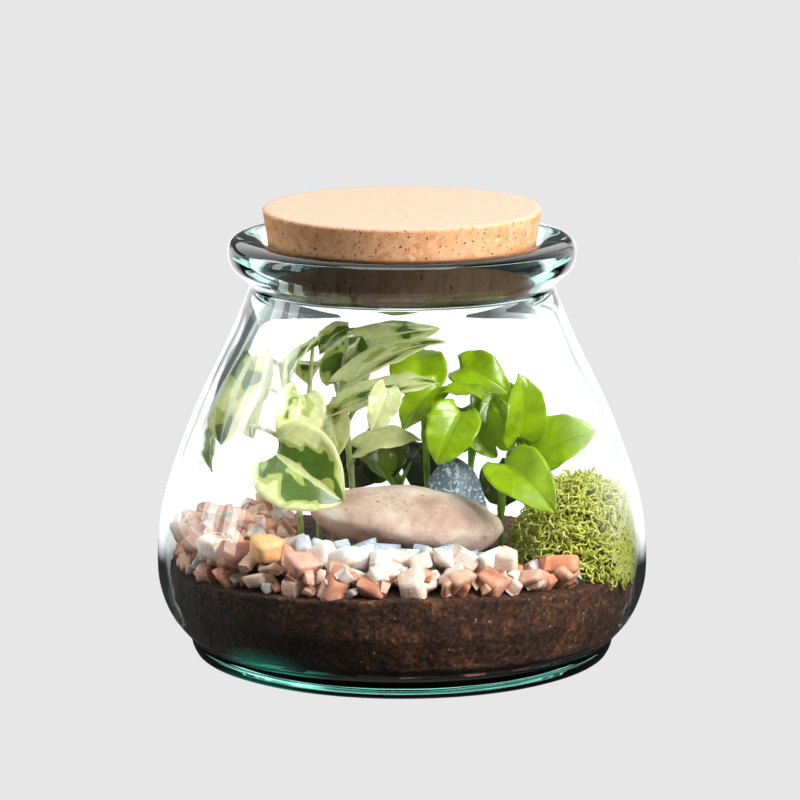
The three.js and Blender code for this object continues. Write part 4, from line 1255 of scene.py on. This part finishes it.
class TERRARIUM_OT_stage(bpy.types.Operator):
    """Set up the camera, the floor and the lights"""
    bl_idname = "terrarium.stage"
    bl_label = "Stage"

    def execute(self, context):
        scene = context.scene
        deselect()
        bpy.ops.object.camera_add(
            location=(CAMERA_SIDE, -CAMERA_DISTANCE, CAMERA_HEIGHT),
            rotation=(math.pi / 2 - CAMERA_PITCH, 0, 0))
        camera = context.object
        camera.data.lens = CAMERA_LENS
        camera.data.sensor_width = SENSOR_WIDTH
        scene.camera = camera
        scene.view_settings.view_transform = "Standard"
        self.floor(scene.terrarium_stage)
        self.world(scene)
        self.lights()
        return {"FINISHED"}

    def floor(self, settings):
        deselect()
        bpy.ops.mesh.primitive_circle_add(vertices=96, radius=PAPER_RADIUS, fill_type="NGON",
                                          location=(0, 0, PAPER_LEVEL))
        floor = bpy.context.object
        floor.name = "floor"
        material, tree, output = new_material("seamless_paper")
        path = add_node(tree, "LightPath")
        spot = add_node(tree, "TexCoord").outputs["Object"]
        x, y, _ = add_node(tree, "SeparateXYZ", [spot]).outputs
        # the paper glows behind the object, and is dark before and beside it
        behind = add_node(tree, "MapRange", [y, 0.2, 0.38, 0, BRIGHT])
        aside = add_node(tree, "Math", [x, y], operation="DIVIDE")
        aside = add_node(tree, "Math", [aside], operation="ABSOLUTE")
        between_sides = add_node(tree, "MapRange", [aside, 0.7, 1.1, 1, 0])
        glow = add_node(tree, "Math", [behind, between_sides], operation="MULTIPLY")
        # through the glass it is seen to glow all around
        reach = add_node(tree, "VectorMath", [spot], operation="LENGTH").outputs["Value"]
        around = add_node(tree, "MapRange", [reach, 0.2, 0.38, 0, BRIGHT])
        around = add_node(tree, "Math", [around, straight_through(tree, path)], operation="MULTIPLY")
        glow = add_node(tree, "Math", [glow, around], operation="MAXIMUM")
        glow = add_node(tree, "Math", [glow, 0.03], operation="ADD")
        lit = add_node(tree, "Emission", [(1, 1, 1, 1), glow])
        # a sea-green glow painted on the paper under the foot's left side, for the light that the foot
        # gathers there
        reach = add_node(tree, "VectorMath", [spot, FOOT_GLOW], operation="DISTANCE").outputs["Value"]
        painted_glow = add_node(tree, "MapRange", [reach, 0.006, 0.036, 0.8, 0],
                            interpolation_type="SMOOTHSTEP")
        painted_glow = add_node(tree, "Emission", [(*linear("20BC9C"), 1), painted_glow])
        lit = add_node(tree, "AddShader", [lit, painted_glow])
        seen = add_node(tree, "Emission", [(*settings.backdrop, 1)])
        both = add_node(tree, "MixShader", [path.outputs["Is Camera Ray"], lit, seen])
        tree.links.new(both.outputs["Shader"], output.inputs["Surface"])
        floor.data.materials.append(material)

    def world(self, scene):
        world = bpy.data.worlds.new("studio")
        scene.world = world
        world.use_nodes = True
        tree = world.node_tree
        tree.nodes.clear()
        output = add_node(tree, "OutputWorld")
        path = add_node(tree, "LightPath")
        straight = straight_through(tree, path)
        way = add_node(tree, "TexCoord").outputs["Generated"]
        x, y, z = add_node(tree, "SeparateXYZ", [way]).outputs
        # bright behind the object and to the left of it, dark behind the viewer
        depth = add_node(tree, "Math", [x, -0.25, y], operation="MULTIPLY_ADD")
        depth = add_node(tree, "MapRange", [depth, 0, 0.6, 0.05, BRIGHT])
        around = add_node(tree, "Math", [straight, BRIGHT], operation="MULTIPLY")
        depth = add_node(tree, "Math", [depth, around], operation="MAXIMUM")
        # a dark horizon behind the foot
        aside = add_node(tree, "MapRange", [distance_from(tree, x, -0.12), 0.2, 0.34, 0.1, 1])
        above = add_node(tree, "MapRange", [z, 0.2, 0.26, 0.1, 1])
        clear = add_node(tree, "Math", [aside, above], operation="MAXIMUM")
        # a dark band over the horizon, from the left to a little right of the middle
        band = add_node(tree, "MapRange", [distance_from(tree, z, 0.165), 0.065, 0.085, 0.1, 1])
        right = add_node(tree, "MapRange", [x, 0.2, 0.35, 0.1, 1])
        band = add_node(tree, "Math", [band, right], operation="MAXIMUM")
        clear = add_node(tree, "Math", [clear, band], operation="MINIMUM")
        # a grey flag at the right
        flag = add_node(tree, "MapRange", [distance_from(tree, x, 0.42), 0.03, 0.06, 0.45, 1])
        clear = add_node(tree, "Math", [clear, flag], operation="MULTIPLY")
        light = add_node(tree, "Math", [clear, depth], operation="MULTIPLY")
        # what the foot bends straight down from above is dim, but for a glow at the right
        bent = add_node(tree, "MapRange", [z, 0.16, 0.24, 0, -0.8])
        glow = add_node(tree, "MapRange", [x, 0.24, 0.36, 1, -2])
        bent = add_node(tree, "Math", [bent, glow], operation="MULTIPLY")
        bent = add_node(tree, "Math", [bent, straight, 1], operation="MULTIPLY_ADD")
        light = add_node(tree, "Math", [light, bent], operation="MULTIPLY")
        lit = add_node(tree, "Background", [(1, 1, 1, 1), light])
        seen = add_node(tree, "Background", [(*scene.terrarium_stage.backdrop, 1), 1])
        both = add_node(tree, "MixShader", [path.outputs["Is Camera Ray"], lit, seen])
        tree.links.new(both.outputs["Shader"], output.inputs["Surface"])

    def lights(self):
        target = Vector((0, 0, 0.1))
        for name, (azimuth, distance, height, size, power, mirrored) in LAMPS.items():
            turn = math.radians(azimuth)
            place = Vector((math.sin(turn) * distance, -math.cos(turn) * distance, height))
            deselect()
            bpy.ops.object.light_add(type="AREA", location=place)
            light = bpy.context.object
            light.name = name
            light.data.shape = "RECTANGLE"
            light.data.size, light.data.size_y = size
            light.data.energy = power
            light.rotation_euler = (place - target).to_track_quat("Z", "Y").to_euler()
            light.visible_camera = False
            if not mirrored:
                light.light_linking.receiver_collection = unmirrored()


# ------------------------------------------------------------------ running it

OPERATORS = (TERRARIUM_OT_stage, TERRARIUM_OT_jar, TERRARIUM_OT_cork, TERRARIUM_OT_drainage,
             TERRARIUM_OT_soil, TERRARIUM_OT_gravel, TERRARIUM_OT_pebbles, TERRARIUM_OT_rocks,
             TERRARIUM_OT_moss, TERRARIUM_OT_variegated_vines, TERRARIUM_OT_green_vines)
SETTINGS = {"terrarium_glass": GlassSettings, "terrarium_cork": CorkSettings,
            "terrarium_stones": StoneSettings, "terrarium_soil": SoilSettings,
            "terrarium_moss": MossSettings, "terrarium_leaves": LeafSettings,
            "terrarium_stage": StageSettings}


class TERRARIUM_PT_panel(bpy.types.Panel):
    """Lists the pieces of the terrarium"""
    bl_idname = "TERRARIUM_PT_panel"
    bl_label = "Terrarium"
    bl_space_type = "VIEW_3D"
    bl_region_type = "UI"
    bl_category = "Terrarium"

    def draw(self, context):
        for name in SETTINGS:
            settings = getattr(context.scene, name)
            for prop in settings.__annotations__:
                self.layout.prop(settings, prop)
        for operator in OPERATORS:
            self.layout.operator(operator.bl_idname)


def register():
    for kind in (*SETTINGS.values(), *OPERATORS, TERRARIUM_PT_panel):
        bpy.utils.register_class(kind)
    for name, kind in SETTINGS.items():
        setattr(bpy.types.Scene, name, PointerProperty(type=kind))


def unregister():
    for name in SETTINGS:
        delattr(bpy.types.Scene, name)
    for kind in (TERRARIUM_PT_panel, *reversed(OPERATORS), *SETTINGS.values()):
        bpy.utils.unregister_class(kind)


def main():
    register()
    for operator in OPERATORS:
        category, name = operator.bl_idname.split(".")
        getattr(getattr(bpy.ops, category), name)()


if __name__ == "__main__":
    main()
